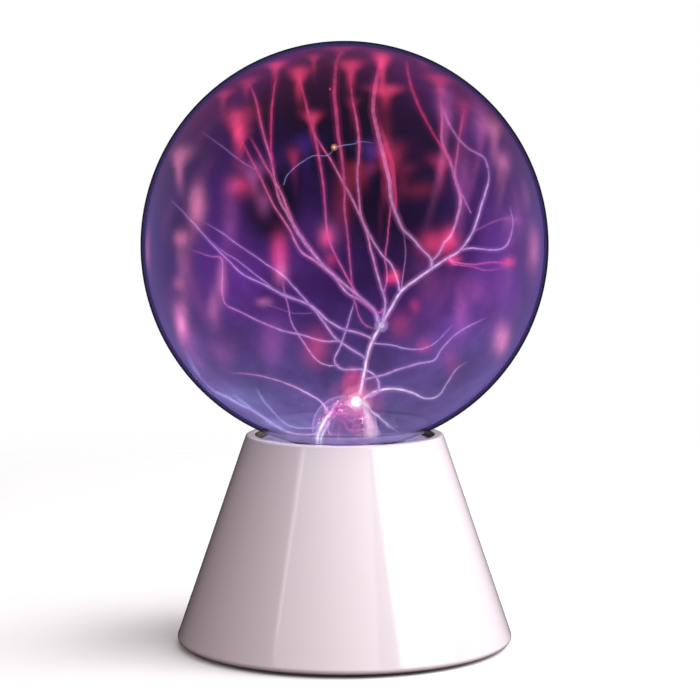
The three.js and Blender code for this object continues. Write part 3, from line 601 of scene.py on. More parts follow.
# ---- underside
CUP_TOP_Z = COVER_BOSS_Z - 0.3 * MM
CUP_FLOOR_Z = 6.6 * MM
COVER_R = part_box("bottom_cover")[1][0]
COVER_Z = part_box("bottom_cover")[0][2]
COVER_TOP_Z = COVER_Z + 2.6 * MM
BOARD_HOLES = [Vector((x, y)) * MM for x in (-43, 43) for y in (-27, 27)]
BOARD_POST_Z = 14 * MM
VENTS = 10
VENT_PITCH = 6.4 * MM
FOOT_ANGLES = (0, 90, 180, 270)

cover = turned([
    (0, COVER_Z),
    (COVER_R - 0.8 * MM, COVER_Z),
    *arc(COVER_R - 0.8 * MM, COVER_Z + 0.8 * MM, 0.8 * MM, -math.pi / 2, 0, 4)[1:],
    (COVER_R - 0.6 * MM, COVER_TOP_Z),
    (0, COVER_TOP_Z),
], FINE)
cups, cup_holes = [], []
for angle in COVER_SCREW_ANGLES:
    at = ring_place(COVER_SCREW_RING_R, angle)
    cups.append(post(5.4 * MM, at, COVER_Z + MM, CUP_TOP_Z))
    cup_holes.append(post(3.9 * MM, at, COVER_Z - MM, CUP_FLOOR_Z))
    cup_holes.append(post(1.9 * MM, at, CUP_FLOOR_Z - MM, CUP_TOP_Z + MM, 24))
for angle in FOOT_ANGLES:
    cup_holes.append(post(3 * MM, ring_place(FOOT_RING_R, angle), COVER_Z - MM, COVER_TOP_Z + MM, 32))
for at in BOARD_HOLES:
    cups.append(post(3.2 * MM, at, COVER_Z + MM, BOARD_POST_Z, 32))
    cup_holes.append(post(1.5 * MM, at, COVER_TOP_Z, BOARD_POST_Z + 1.3 * MM, 24))
for i in range(VENTS):
    x = (i - (VENTS - 1) / 2) * VENT_PITCH
    slit = round_box(1.3 * MM, 17 * MM, 1.29 * MM, x)
    cup_holes.append(prism(slit, COVER_Z - MM, COVER_TOP_Z + MM))
cover = soften(combine(combine(cover, cups, "UNION"), cup_holes, "DIFFERENCE"))
piece("bottom_cover_fine", cover, cover_plastic, "bottom_cover", edge=0.25 * MM)

for i, angle in enumerate(FOOT_ANGLES):
    foot = turned([
        *in_mm((0, 0.25), (4.2, 0.25), (4.6, 0), (6.4, 0)),
        *arc(6.5 * MM, 0.9 * MM, 0.9 * MM, -math.pi / 2, 0, 6)[1:],
        *in_mm((7.4, 2.3), (2.6, 2.3), (2.6, 5.5), (3.7, 5.5), (1.6, 8.3), (0, 8.3)),
    ], SMALL)
    foot.transform(Matrix.Translation(ring_place(FOOT_RING_R, angle)))
    piece(f"foot_{i + 1}", foot, rubber, f"rubber_foot_{i + 1}")


def screw(head_r, head_height, shank_r, length):
    """A pan-head screw with a cross recess and a plain shank, head down."""
    body = turned([
        (0, -head_height),
        (0.5 * head_r, -0.97 * head_height),
        (0.8 * head_r, -0.75 * head_height),
        (0.96 * head_r, -0.4 * head_height),
        (head_r, -0.15 * head_height),
        (head_r, 0),
        (shank_r, 0),
        (shank_r, length - shank_r),
        (0, length),
    ], SMALL)
    slot = 0.14 * head_r
    arm = 0.6 * head_r
    bars = [
        prism(round_box(x, y, slot / 2), -2 * head_height, -0.45 * head_height)
        for x, y in ((arm, slot), (slot, arm))
    ]
    return soften(combine(body, bars, "DIFFERENCE"))


for i, angle in enumerate(COVER_SCREW_ANGLES):
    mesh = screw(3.1 * MM, 2.1 * MM, 1.3 * MM, 17 * MM)
    lift = Vector((0, 0, CUP_FLOOR_Z - 0.3 * MM))
    mesh.transform(Matrix.Translation(ring_place(COVER_SCREW_RING_R, angle) + lift))
    piece(f"cover_screw_{i + 1}_fine", mesh, steel, f"cover_screw_{i + 1}")

# ---- rear panel: switch and inlet
BEZEL_Z = 2 * MM
PIVOT_Z = -1.5 * MM
ROCKER_R = 8.7 * MM
ROCKER_HALF_X = 5.6 * MM
ROCKER_THROW = math.radians(12)
TRUNNION_R = 1.2 * MM
ALONG_X = Matrix.Rotation(math.pi / 2, 4, "Y")

bezel = prism(
    round_box(SWITCH_BODY_X + 1.6 * MM, SWITCH_BODY_Y + 1.6 * MM, 1.6 * MM), 0.3 * MM, BEZEL_Z
)
housing = prism(round_box(SWITCH_BODY_X, SWITCH_BODY_Y, 0.3 * MM), -10.4 * MM, MM)
cavity = prism(round_box(6.3 * MM, 9.3 * MM, 0.4 * MM), -7.8 * MM, 2 * BEZEL_Z)
pivots = prism(
    circle(TRUNNION_R + 0.35 * MM), -7.25 * MM, 7.25 * MM,
    Matrix.Translation((0, 0, PIVOT_Z)) @ ALONG_X,
)
housing = combine(combine(bezel, [housing], "UNION"), [cavity, pivots], "DIFFERENCE")
housing.transform(panel @ Matrix.Translation((SWITCH_X, 0, 0)))
piece("switch_frame", soften(housing), black_plastic, "switch_housing", edge=0.3 * MM)


def rocker_mesh():
    """The rocker, about its pivot: a dished face between two raised ends, with grip ribs."""
    high, low = math.radians(35), math.radians(-27)
    right = arc(0, 0, ROCKER_R, low, high, 14)
    left = arc(0, 0, ROCKER_R, math.pi - high, math.pi - low, 14)
    (x0, z0), (x1, z1) = right[-1], left[0]
    dip = 2.6 * MM

    def face_z(t):
        return (1 - t) ** 2 * z0 + 2 * t * (1 - t) * dip + t**2 * z1

    middle = [((1 - i / 24) ** 2 * x0 + (i / 24) ** 2 * x1, face_z(i / 24)) for i in range(1, 24)]
    outline = right + middle + left
    along = Matrix(((0, 0, 1, 0), (1, 0, 0, 0), (0, 1, 0, 0), (0, 0, 0, 1)))
    body = prism(outline, -ROCKER_HALF_X, ROCKER_HALF_X, along)
    trunnion = prism(circle(TRUNNION_R), -6.9 * MM, 6.9 * MM, ALONG_X)
    ribs = []
    for y in (-6.3, -5.5, -4.7, 4.7, 5.5, 6.3):
        groove = prism(circle(0.24 * MM, 0, 0, 16), -4 * MM, 4 * MM, ALONG_X)
        groove.transform(Matrix.Translation((0, y * MM, face_z(0.5 * (1 + y * MM / x0)))))
        ribs.append(groove)
    return combine(combine(body, [trunnion], "UNION"), ribs, "DIFFERENCE")


rocker = rocker_mesh()
rocker.transform(
    panel @ Matrix.Translation((SWITCH_X, 0, PIVOT_Z)) @ Matrix.Rotation(-ROCKER_THROW, 4, "X")
)
piece(
    "switch_rocker_fine", soften(rocker), black_plastic, "switch_rocker",
    body="rocker", edge=0.25 * MM,
)

SOCKET_R = 3.1 * MM
BARREL_R = 3.95 * MM
jack_place = panel @ Matrix.Translation((JACK_X, 0, 0))
jack = turned([
    *in_mm((0, -14), (5.4, -14), (5.4, -2.9)),
    (BARREL_R, -2.9 * MM),
    (BARREL_R, 2.3 * MM),
    (BARREL_R - 0.3 * MM, 2.6 * MM),
    (SOCKET_R + 0.25 * MM, 2.6 * MM),
    (SOCKET_R, 2.35 * MM),
    (SOCKET_R, -9.5 * MM),
    (0, -9.5 * MM),
], MEDIUM)
jack.transform(jack_place)
piece("dc_jack_fine", jack, black_plastic, "dc_jack_body")
nut = turned(in_mm((0, 0.3), (6.4, 0.3), (6.4, 2.1), (0, 2.1)), 6)
chamfer = turned(in_mm((0, 0), (7, 0), (7, 1.2), (5.55, 2.1), (0, 2.1)), MEDIUM)
nut_hole = prism(circle(BARREL_R + 0.3 * MM), 0, 3 * MM)
nut = combine(combine(nut, [chamfer], "INTERSECT"), [nut_hole], "DIFFERENCE")
nut.transform(jack_place)
piece("dc_jack_nut_fine", soften(nut), steel, "dc_jack_nut")
pin = turned([
    *in_mm((0, -9.2), (1.05, -9.2), (1.05, 0.2)),
    *arc(0.55 * MM, 0.4 * MM, 0.5 * MM, 0, math.pi / 2, 5),
    (0, 0.9 * MM),
], SMALL)
pin.transform(jack_place)
piece("dc_jack_pin_fine", pin, brass, "dc_jack_pin")

# ---- pieces kept from the CAD
DRESSED = [
    (electrode_material, ["exhaust_tip"]),
    (steel, ["electrode_rod", "heatsink_screw"]),
    (steel, [*numbered("collar_screw", 3), *numbered("board_screw", 4)]),
    (silicone, ["stem_plug", "neck_cement"]),
    (black_plastic, ["neck_collar", "power_transistor", "timer_chip"]),
    (brass, numbered("switch_terminal", 3)),
    (board_green, ["circuit_board"]),
    (ferrite, ["flyback_core"]),
    (winding_tape, ["flyback_winding"]),
    (copper, ["primary_coil"]),
    (aluminium, ["heatsink", "microphone"]),
    (capacitor_sleeve, numbered("filter_capacitor", 2)),
    (film_brown, ["film_capacitor"]),
    (trimmer_blue, ["sensitivity_trimmer"]),
    (resistor_body, numbered("resistor", 2)),
    (red_lead, ["hv_lead", "jack_lead_positive", "switch_lead_1"]),
    (black_lead, ["jack_lead_negative"]),
    (white_lead, ["switch_lead_2", "switch_lead_3"]),
]
for mat, names in DRESSED:
    dress(mat, *names)
SQUARE_EDGED = (
    "neck_collar", "flyback_core", "heatsink", "power_transistor", "timer_chip", "film_capacitor"
)
for name in SQUARE_EDGED:
    rounded(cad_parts[name], 0.3 * MM)

# ---- the discharge
GLOBE = Vector((0, 0, GLOBE_Z))
EYE = Vector(camera.location)
EYE_DEPTH = CAMERA_DISTANCE
FILM_R = GLOBE_R - GLASS - 0.3 * MM


def sight(x, z):
    """Direction from the camera to a place in globe radii from the globe's centre."""
    return GLOBE + GLOBE_R * Vector((x, 0, z)) - EYE


def at_depth(x, z, y):
    """The point behind that place, at a depth y."""
    return EYE + sight(x, z) * (EYE_DEPTH + y) / EYE_DEPTH


def on_glass(x, z, side, radius=0.97 * FILM_R):
    """Where that line of sight meets the near (-1) or far (1) side of the globe."""
    ray = sight(x, z)
    start = EYE - GLOBE
    a, b, c = ray.dot(ray), ray.dot(start), start.dot(start) - radius**2
    root = math.sqrt(max(b * b - a * c, 0))
    return EYE + ray * (-b + side * root) / a


def bands(first, count, around):
    """Faces between rings of vertices, from the ring that starts at the first one."""
    faces = []
    for low in range(first, first + count * around, around):
        for k in range(around):
            n = (k + 1) % around
            faces.append([low + k, low + n, low + around + n, low + around + k])
    return faces


class Strands:
    """Tubes of glowing gas gathered into one mesh, with a colour and an opacity at each vertex."""

    def __init__(self):
        self.verts, self.faces, self.tint, self.fade = [], [], [], []

    def tube(self, path, radii, tints, fades, sides=8):
        first = len(self.verts)
        side = Vector((0, 1, 0.3))
        for i, point in enumerate(path):
            ahead = (path[min(i + 1, len(path) - 1)] - path[max(i - 1, 0)]).normalized()
            side = (side - side.dot(ahead) * ahead).normalized()
            up = ahead.cross(side)
            for k in range(sides):
                a = TAU * k / sides
                self.verts.append(point + radii[i] * (math.cos(a) * side + math.sin(a) * up))
                self.tint.append(tints[i])
                self.fade.append(fades[i])
        self.faces += bands(first, len(path) - 1, sides)

    def ball(self, centre, radius, tint, fade, stretch=1.0, segments=32, rings=18):
        """A round glow, stretched upwards."""
        first = len(self.verts)
        for i in range(rings + 1):
            b = math.pi * i / rings
            for k in range(segments):
                a = TAU * k / segments
                across = math.sin(b)
                offset = (across * math.cos(a), across * math.sin(a), stretch * math.cos(b))
                self.verts.append(centre + radius * Vector(offset))
        self.tint += [tint] * (rings + 1) * segments
        self.fade += [fade] * (rings + 1) * segments
        self.faces += bands(first, rings, segments)

    def mesh(self):
        mesh = bpy.data.meshes.new("strands")
        mesh.from_pydata(self.verts, [], self.faces)
        mesh.shade_smooth()
        tint = mesh.attributes.new("tint", "FLOAT_COLOR", "POINT")
        tint.data.foreach_set("color", [c for t in self.tint for c in (*t, 1.0)])
        mesh.attributes.new("fade", "FLOAT", "POINT").data.foreach_set("value", self.fade)
        return mesh


def curve_through(points, step):
    """Points about a step apart on a smooth curve through the given ones."""
    out = []
    for i in range(len(points) - 1):
        p1, p2 = points[i], points[i + 1]
        p0 = points[i - 1] if i else 2 * p1 - p2
        p3 = points[i + 2] if i + 2 < len(points) else 2 * p2 - p1
        count = max(2, round((p2 - p1).length / step))
        for k in range(count):
            t = k / count
            out.append(0.5 * (
                2 * p1 + (p2 - p0) * t
                + (2 * p0 - 5 * p1 + 4 * p2 - p3) * t**2
                + (3 * p1 - p0 - 3 * p2 + p3) * t**3
            ))
    return [*out, points[-1].copy()]


def any_way(rise=1.0):
    return Vector((rng.gauss(0, 1), rng.gauss(0, 1), rng.gauss(0, rise)))


def tremble(path, amount):
    """Small bends along a path, none at its start."""
    drift = Vector((0, 0, 0))
    for i in range(1, len(path)):
        drift = 0.8 * drift + amount * any_way()
        path[i] = path[i] + drift
    return path


def between(a, b, t):
    return a + (b - a) * t


def blend_tints(a, b, t):
    return tuple(between(x, y, t) for x, y in zip(a, b))


def shares_along(path):
    last = len(path) - 1
    return [i / last for i in range(last + 1)]


def seen(tint, gain=1.0):
    """A colour made up for what the film stops."""
    return tuple(gain * c / THROUGH for c in tint)


# Colours of the gas as they should look, before the film dims them.
WHITE = (1.0, 0.93, 1.0)
SOFT = (0.76, 0.62, 0.86)
LAVENDER = (0.46, 0.32, 0.60)
PINK = (0.50, 0.045, 0.15)
ROSE = (0.46, 0.13, 0.34)
VIOLET = (0.34, 0.20, 0.52)
MIST = (0.36, 0.40, 0.78)

# Each strand: name, parent, which side of the globe it ends on (0: inside), start and end width
# in mm, start and end colour, start and end opacity, and its places (right, up) in hundredths of
# the globe's radius from its centre, as seen from the camera.
STRANDS = [
    ("trunk", None, 0, 1.5, 1.3, WHITE, SOFT, 1, 0.95, (6, -77), (8, -71), (10, -62), (11, -56),
     (14, -46), (18, -39)),
    ("right", "trunk", -0.6, 1.3, 1.0, SOFT, LAVENDER, 0.95, 0.9, (18, -39), (23, -30), (28, -22),
     (36, -16), (43, -11), (51, -6), (57, -2), (63, 7), (67, 20), (70, 31), (70, 38)),
    ("right_tip", "right", -1, 1.0, 1.6, VIOLET, ROSE, 0.5, 0.3, (70, 38), (68, 43), (61, 47), (55, 53),
     (50, 61), (47, 68)),
    ("right_1", "right", -1, 1.1, 0.9, LAVENDER, VIOLET, 0.9, 0.45, (57, -2), (63, -1), (72, -2),
     (78, -1), (81, 4), (82, 12), (80, 20)),
    ("right_2", "right", 1, 1.0, 1.2, ROSE, PINK, 0.8, 0.5, (51, -6), (54, -9), (62, -10), (70, -12),
     (78, -11)),
    ("right_2b", "right", -1, 1.0, 1.2, ROSE, PINK, 0.8, 0.6, (51, -6), (54, -8), (63, -9), (72, -8),
     (80, -8)),
    ("right_3", "right", 1, 1.4, 2.2, LAVENDER, PINK, 0.8, 0.5, (43, -11), (43, -7), (46, -4), (49, 2),
     (52, 5), (55, 13), (57, 23), (54, 34), (52, 41), (48, 51), (48, 61), (47, 74)),
    ("right_4", "right", -1, 1.3, 2.8, LAVENDER, PINK, 0.8, 0.75, (43, -11), (42, -6), (38, -2), (33, 4),
     (28, 9), (23, 22), (22, 32), (19, 44), (16, 56), (14, 66), (15, 78), (18, 91)),
    ("right_4b", "right_4", -1, 1.6, 2.4, PINK, PINK, 0.6, 0.5, (25, 19), (25, 26), (24, 38), (21, 47),
     (17, 59)),
    ("right_7", "right_3", 1, 1.2, 2.2, PINK, PINK, 0.4, 0.35, (51, 43), (43, 56), (36, 69), (32, 81),
     (30, 91)),
    ("right_8", "right", -1, 0.9, 1.6, VIOLET, PINK, 0.35, 0.4, (62, 16), (58, 24), (54, 32), (55, 46),
     (56, 54), (58, 67)),
    ("right_9", "right", 1, 1.2, 1.4, ROSE, ROSE, 0.4, 0.3, (63, 7), (69, 10), (76, 13), (84, 14)),
    ("right_5", "right", 1, 1.2, 1.4, LAVENDER, PINK, 0.95, 0.8, (27, -22), (26, -16), (23, -9), (19, -5),
     (14, 2), (10, 10), (3, 24), (-3, 35), (-8, 44), (-14, 53), (-17, 62)),
    ("right_6", "right", 1, 0.9, 1.0, LAVENDER, ROSE, 0.6, 0.25, (28, -22), (29, -13), (30, -3), (29, 6),
     (27, 13)),
    ("up_1", "right", -1, 1.2, 1.3, LAVENDER, PINK, 0.95, 0.8, (19, -37), (20, -28), (19, -24), (16, -14),
     (13, -3), (11, 6), (8, 15), (7, 24), (6, 34), (7, 46), (7, 52), (6, 61), (4, 71), (3, 81)),
    ("up_2", "up_1", 1, 1.0, 1.5, ROSE, PINK, 0.75, 0.6, (19, -24), (21, -15), (20, -7), (21, 2),
     (22, 12), (23, 20), (24, 32), (22, 42)),
    ("up_3", "trunk", 1, 0.9, 2.2, ROSE, PINK, 0.35, 0.6, (15, -41), (9, -38), (5, -27), (3, -13), (2, 2),
     (0, 17), (0, 27), (-1, 40), (-3, 53), (-4, 64), (-5, 76), (-4, 90), (-1, 95)),
    ("up_4", "up_1", -1, 1.0, 1.6, ROSE, PINK, 0.7, 0.6, (19, -31), (16, -33), (7, -25), (-1, -11),
     (-7, 1), (-9, 10), (-10, 24), (-12, 40), (-14, 50), (-17, 63), (-20, 75), (-22, 82)),
    ("left_1", "trunk", -1, 1.4, 1.2, LAVENDER, PINK, 0.95, 0.75, (17, -38), (14, -31), (-1, -18),
     (-7, -13), (-15, -7), (-22, -2), (-28, 10), (-35, 20), (-40, 31), (-44, 39), (-50, 51)),
    ("left_2", "trunk", 1, 1.4, 1.3, LAVENDER, PINK, 0.95, 0.75, (16, -37), (15, -33), (10, -28),
     (1, -23), (-5, -15), (-11, -9), (-18, 0), (-25, 11), (-31, 26), (-34, 32), (-36, 42), (-40, 55),
     (-44, 73), (-47, 80)),
    ("left_2b", "left_2", -1, 1.0, 1.8, LAVENDER, PINK, 0.7, 0.6, (-5, -15), (-13, -7), (-21, 3),
     (-26, 12), (-32, 23), (-34, 31), (-40, 42), (-46, 53)),
    ("left_2c", "left_2", 1, 1.0, 1.5, PINK, PINK, 0.6, 0.6, (-35, 38), (-36, 49), (-36, 61), (-35, 75),
     (-33, 84)),
    ("left_2d", "left_1", -1, 0.8, 0.8, ROSE, VIOLET, 0.3, 0.15, (-43, 37), (-50, 41), (-60, 49),
     (-70, 56)),
    ("left_3", "trunk", -1, 1.2, 0.9, LAVENDER, VIOLET, 0.95, 0.45, (14, -46), (7, -43), (-1, -41),
     (-8, -37), (-16, -30), (-25, -26), (-30, -24), (-40, -19), (-50, -14), (-57, -7), (-65, 1), (-72, 9),
     (-79, 17), (-84, 22)),
    ("left_3b", "left_3", 1, 0.9, 1.2, LAVENDER, VIOLET, 0.6, 0.3, (-25, -26), (-31, -24), (-40, -17),
     (-52, -8), (-60, -3), (-69, 5)),
    ("left_4", "trunk", 1, 1.3, 0.9, LAVENDER, VIOLET, 0.9, 0.4, (11, -56), (-1, -48), (-5, -45),
     (-13, -34), (-21, -25), (-30, -15), (-40, -8), (-52, 0), (-60, 6), (-70, 12)),
    ("left_5", "trunk", 0, 1.1, 0.9, LAVENDER, LAVENDER, 0.95, 0.5, (11, -75), (16, -73), (17, -69),
     (15, -64), (9, -61), (-1, -61), (-4, -59), (-5, -56), (-2, -49), (1, -40), (5, -27)),
    ("left_6", "left_4", -1, 1.0, 1.0, LAVENDER, ROSE, 0.6, 0.35, (-2, -47), (-11, -47), (-21, -44),
     (-30, -42), (-40, -38), (-50, -33), (-58, -29), (-60, -22), (-60, -7), (-66, -5), (-77, -1)),
    ("left_7", "left_5", 1, 0.9, 1.3, LAVENDER, ROSE, 0.7, 0.6, (-3, -59), (-8, -59), (-13, -57),
     (-18, -51), (-25, -40), (-28, -30), (-31, -17)),
    ("left_8", "left_3", -1, 0.8, 1.2, VIOLET, ROSE, 0.3, 0.25, (-16, -33), (-25, -33), (-34, -30),
     (-40, -28)),
    ("low_right_1", "trunk", -1, 1.3, 0.9, LAVENDER, VIOLET, 0.8, 0.5, (9, -66), (18, -64), (26, -61),
     (36, -58), (44, -56), (48, -50), (55, -43), (63, -38), (69, -35)),
    ("low_right_2", "trunk", 1, 1.1, 1.0, LAVENDER, VIOLET, 0.8, 0.4, (13, -48), (23, -49), (31, -51),
     (38, -51), (45, -48), (50, -43), (54, -39)),
    ("low_right_3", "trunk", 1, 1.3, 1.0, WHITE, VIOLET, 0.9, 0.35, (9, -76), (13, -73), (19, -71),
     (27, -71), (34, -73), (41, -76), (47, -74), (51, -68), (56, -61), (62, -57)),
    ("low_left_1", "trunk", -1, 0.8, 1.0, SOFT, ROSE, 0.8, 0.3, (-8, -82), (-10, -79), (-13, -76),
     (-18, -73), (-26, -69), (-37, -65), (-46, -63), (-57, -62)),
    ("arc_1", "trunk", 1, 0.7, 2.6, LAVENDER, MIST, 0.7, 0.25, (-13, -92), (-19, -94), (-30, -92),
     (-44, -83), (-57, -76), (-70, -69), (-79, -52)),
    ("arc_2", "trunk", -1, 0.7, 1.6, LAVENDER, MIST, 0.6, 0.2, (-14, -90), (-23, -90), (-30, -87),
     (-38, -78), (-44, -69)),
    ("arc_3", "trunk", 1, 1.0, 2.0, LAVENDER, MIST, 0.5, 0.2, (-13, -93), (-25, -94), (-36, -89),
     (-48, -80), (-56, -74)),
    ("loop_1", "left_2", -1, 0.5, 0.6, MIST, MIST, 0.5, 0.7, (-30, 30), (-28, 35), (-21, 41), (-15, 44),
     (-9, 44), (-5, 47)),
    ("loop_2", "up_4", -1, 0.5, 0.5, MIST, MIST, 0.6, 0.35, (-5, 48), (-1, 49), (5, 50), (7, 51),
     (14, 50)),
]
TREMBLE = 0.07 * MM
START_FRONT = -4 * MM  # depth at which the trunk leaves the electrode
FLOAT_DEPTH = 8 * MM  # how far a strand that ends in the gas leans back or forth
CORE_R_PER_WIDTH = 0.48 * MM
# A strand's halo: its colour and opacity as shares of the strand's own, its radius as a share
# of the strand's and a margin.
WASH = (0.85, 0.4, 0.75)
HALO_OPACITY = 0.24
HALO_SPREAD = 2.2
HALO_MARGIN = 0.7 * MM


def clear_of_electrode(point):
    """The point, brought out to the front of the electrode if it is inside it."""
    clear = ELECTRODE_R + 0.8 * MM
    rise = max(point.z - DOME_Z, 0)
    room = clear**2 - point.x**2 - rise**2
    if room > 0 and point.y**2 < room:
        return Vector((point.x, -math.sqrt(room), point.z))
    return point


cores, halos = Strands(), Strands()
paths = {}
for name, parent, side, wide, narrow, tint0, tint1, fade0, fade1, *places in STRANDS:
    places = [(x / 100, z / 100) for x, z in places]
    if parent is None:
        start_depth = START_FRONT
    else:
        first = at_depth(*places[0], 0)
        root = min(paths[parent], key=lambda p: (p.x - first.x) ** 2 + (p.z - first.z) ** 2)
        start_depth = root.y
    if side == 0:
        end_depth = start_depth + rng.choice((-1, 1)) * FLOAT_DEPTH * (name != "trunk")
    else:
        end_depth = on_glass(*places[-1], side / abs(side)).y * abs(side)
    reach = [0.0]
    for a, b in zip(places, places[1:]):
        reach.append(reach[-1] + math.dist(a, b))
    share = [r / reach[-1] for r in reach]
    knots = [
        clear_of_electrode(at_depth(x, z, start_depth + (end_depth - start_depth) * s**1.3))
        for (x, z), s in zip(places, share)
    ]
    path = tremble(curve_through(knots, 2 * MM), TREMBLE)
    paths[name] = path
    t = shares_along(path)
    shiver = [1 + 0.12 * math.sin(9 * u + 5 * len(name)) for u in t]
    radii = [CORE_R_PER_WIDTH * between(wide, narrow, u) * s for u, s in zip(t, shiver)]
    tints = [seen(blend_tints(tint0, tint1, u**0.8)) for u in t]
    fades = [between(fade0, fade1, u) * min(1, 6 * (1.02 - u)) for u in t]
    cores.tube(path, radii, tints, fades)
    wash = [tuple(c * w for c, w in zip(tint, WASH)) for tint in tints]
    spread = [HALO_SPREAD * r + HALO_MARGIN for r in radii]
    halos.tube(path, spread, wash, [HALO_OPACITY * f for f in fades], 12)

# ---- glow at the electrode
HOT = clear_of_electrode(at_depth(0.058, -0.768, START_FRONT))
TRUNK_END = paths["trunk"][-1]
SPARK = on_glass(-0.05, 0.48, -1)
SMALL_BALL = {"segments": 16, "rings": 10}
cores.ball(HOT, 2.7 * MM, seen(WHITE, 4), 1.0)
cores.ball(TRUNK_END, 1.5 * MM, seen(WHITE), 1.0, **SMALL_BALL)
for radius, tint, opacity in (
    (5, (1.0, 0.75, 0.86), 0.6),
    (9, (1.0, 0.30, 0.44), 0.38),
    (16, (0.72, 0.10, 0.26), 0.16),
):
    halos.ball(HOT, radius * MM, seen(tint), opacity)
halos.ball(TRUNK_END, 4 * MM, seen(LAVENDER), 0.5)
above_hot = HOT + Vector((-2 * MM, 4 * MM, 8 * MM))
halos.ball(above_hot, 6 * MM, seen((0.75, 0.05, 0.16)), 0.3, stretch=1.7)
cores.ball(on_glass(-0.07, 0.76, -1), 0.6 * MM, seen((0.6, 0.05, 0.08)), 1.0, **SMALL_BALL)
cores.ball(SPARK, 0.5 * MM, seen((1.0, 0.62, 0.30), 2.5), 1.0, **SMALL_BALL)
halos.ball(SPARK, 1.7 * MM, seen((0.9, 0.35, 0.2)), 0.5, **SMALL_BALL)

# Short bright licks where the discharge leaves the electrode.
# Widths in mm, colours, opacities and places as in the strands' table.
LICK_DEPTH = -17.5 * MM
LICKS = [
    (1.5, 0.9, WHITE, SOFT, 1, 0.8, (5.8, -76.8), (8.5, -77.2), (11.2, -78.8), (12.4, -81.2)),
    (0.9, 0.5, SOFT, LAVENDER, 0.75, 0.35, (12.4, -81.2), (16, -83.8), (20.5, -87.8), (26.2, -92)),
    (1.1, 1.2, WHITE, WHITE, 0.9, 1, (-7.8, -83.2), (-10.3, -87.2), (-13.2, -93.7), (-13.4, -98.5)),
    (0.7, 0.8, LAVENDER, WHITE, 0.8, 0.9, (-7, -86.8), (-11.2, -93.7), (-11.8, -98.5)),
    (0.7, 0.7, PINK, ROSE, 0.7, 0.5, (-1, -86.2), (0.2, -88), (2, -91), (7.4, -91.2)),
    (0.6, 0.6, SOFT, ROSE, 0.8, 0.5, (-7.5, -85), (-5.8, -80.2), (-2.5, -77), (2, -75.5)),
]
for wide, narrow, tint0, tint1, fade0, fade1, *places in LICKS:
    path = curve_through([at_depth(x / 100, z / 100, LICK_DEPTH) for x, z in places], MM)
    t = shares_along(path)
    taper = [math.sin(math.pi * (0.12 + 0.76 * u)) for u in t]
    radii = [0.5 * MM * between(wide, narrow, u) * s for u, s in zip(t, taper)]
    tints = [seen(blend_tints(tint0, tint1, u)) for u in t]
    fades = [between(fade0, fade1, u) for u in t]
    cores.tube(path, radii, tints, fades)
    halos.tube(path, [3 * r + 0.4 * MM for r in radii], tints, [0.25 * f for f in fades], 12)

# A fan of light that widens from the electrode down to the neck, with a brighter middle.
FAN_DEPTH = -17 * MM
FAN_PLACES = ((0.098, -0.79), (0.118, -0.86), (0.136, -0.94))
fan = curve_through([at_depth(x, z, FAN_DEPTH) for x, z in FAN_PLACES], MM)
spread = [(1.2 + 4.2 * i / len(fan)) * MM for i in range(len(fan))]
for share, tint, opacity in ((1, (0.85, 0.52, 0.66), 0.62), (0.4, (1.0, 0.75, 0.85), 0.4)):
    radii = [share * r for r in spread]
    halos.tube(fan, radii, [seen(tint)] * len(fan), [opacity] * len(fan), 12)

piece("discharge", cores.mesh(), streamer_material).visible_shadow = False
piece("discharge_halo", halos.mesh(), halo_material).visible_shadow = False

# ---- steel wool in the electrode
WOOL_R = ELECTRODE_R - ELECTRODE_WALL - 0.6 * MM
WOOL_LOW_Z = 91 * MM
FIBRES = 260
FIBRE_STEPS = 14
FIBRE_STEP = 1.1 * MM
FIBRE_CURL = 0.35

wool = Strands()
for _ in range(FIBRES):
    a, height = rng.uniform(0, TAU), rng.uniform(WOOL_LOW_Z + MM, DOME_Z + 0.92 * WOOL_R)
    reach = WOOL_R if height < DOME_Z else math.sqrt(WOOL_R**2 - (height - DOME_Z) ** 2)
    r = reach * math.sqrt(rng.uniform(0.25, 1))
    point = Vector((r * math.cos(a), r * math.sin(a), height))
    heading = any_way(0.7).normalized()
    path = [point]
    for _ in range(FIBRE_STEPS):
        heading = (heading + FIBRE_CURL * any_way()).normalized()
        point = point + FIBRE_STEP * heading
        flat = Vector((point.x, point.y, max(point.z - DOME_Z, 0)))
        if flat.length > WOOL_R:
            pulled = flat * (WOOL_R / flat.length)
            point = Vector((pulled.x, pulled.y, DOME_Z + pulled.z if point.z > DOME_Z else point.z))
        point.z = max(point.z, WOOL_LOW_Z)
        path.append(point)
    count = len(path)
    wool.tube(path, [rng.uniform(0.07, 0.14) * MM] * count, [WHITE] * count, [1.0] * count, 3)


def fibre_wool():
    """Bright steel fibres with painted pink glints and glow in patches towards the top."""
    mat, n = material("steel_wool", glows=True)
    painted_glow_by_height = n.span(n.height(), 100 * MM, 124 * MM)
    patch = n.span(n.noise(190, 3), 0.48, 0.62)
    n.principled({
        "Base Color": n.mix(n.noise(500), (0.30, 0.24, 0.28, 1), (0.55, 0.50, 0.54, 1)),
        "Metallic": 1.0,
        "Roughness": 0.35,
        "Emission Color": (1.0, 0.35, 0.55, 1),
        "Emission Strength": n.math("MULTIPLY", n.math("MULTIPLY", painted_glow_by_height, patch), 26.0),
    })
    return mat


def packed_wool():
    """The darker mass that the fibres lie round, with a painted magenta glow in patches towards the top.
    """
    mat, n = material("wool_core", glows=True)
    painted_glow_by_height = n.span(n.height(), 98 * MM, 122 * MM)
    patch = n.span(n.noise(150, 4), 0.38, 0.66, 0.8, 6.5)
    n.principled({
        "Base Color": n.mix(n.noise(300, 4), (0.05, 0.02, 0.04, 1), (0.22, 0.12, 0.18, 1)),
        "Roughness": 0.5,
        "Emission Color": (0.62, 0.07, 0.34, 1),
        "Emission Strength": n.math("MULTIPLY", painted_glow_by_height, patch),
    })
    return mat


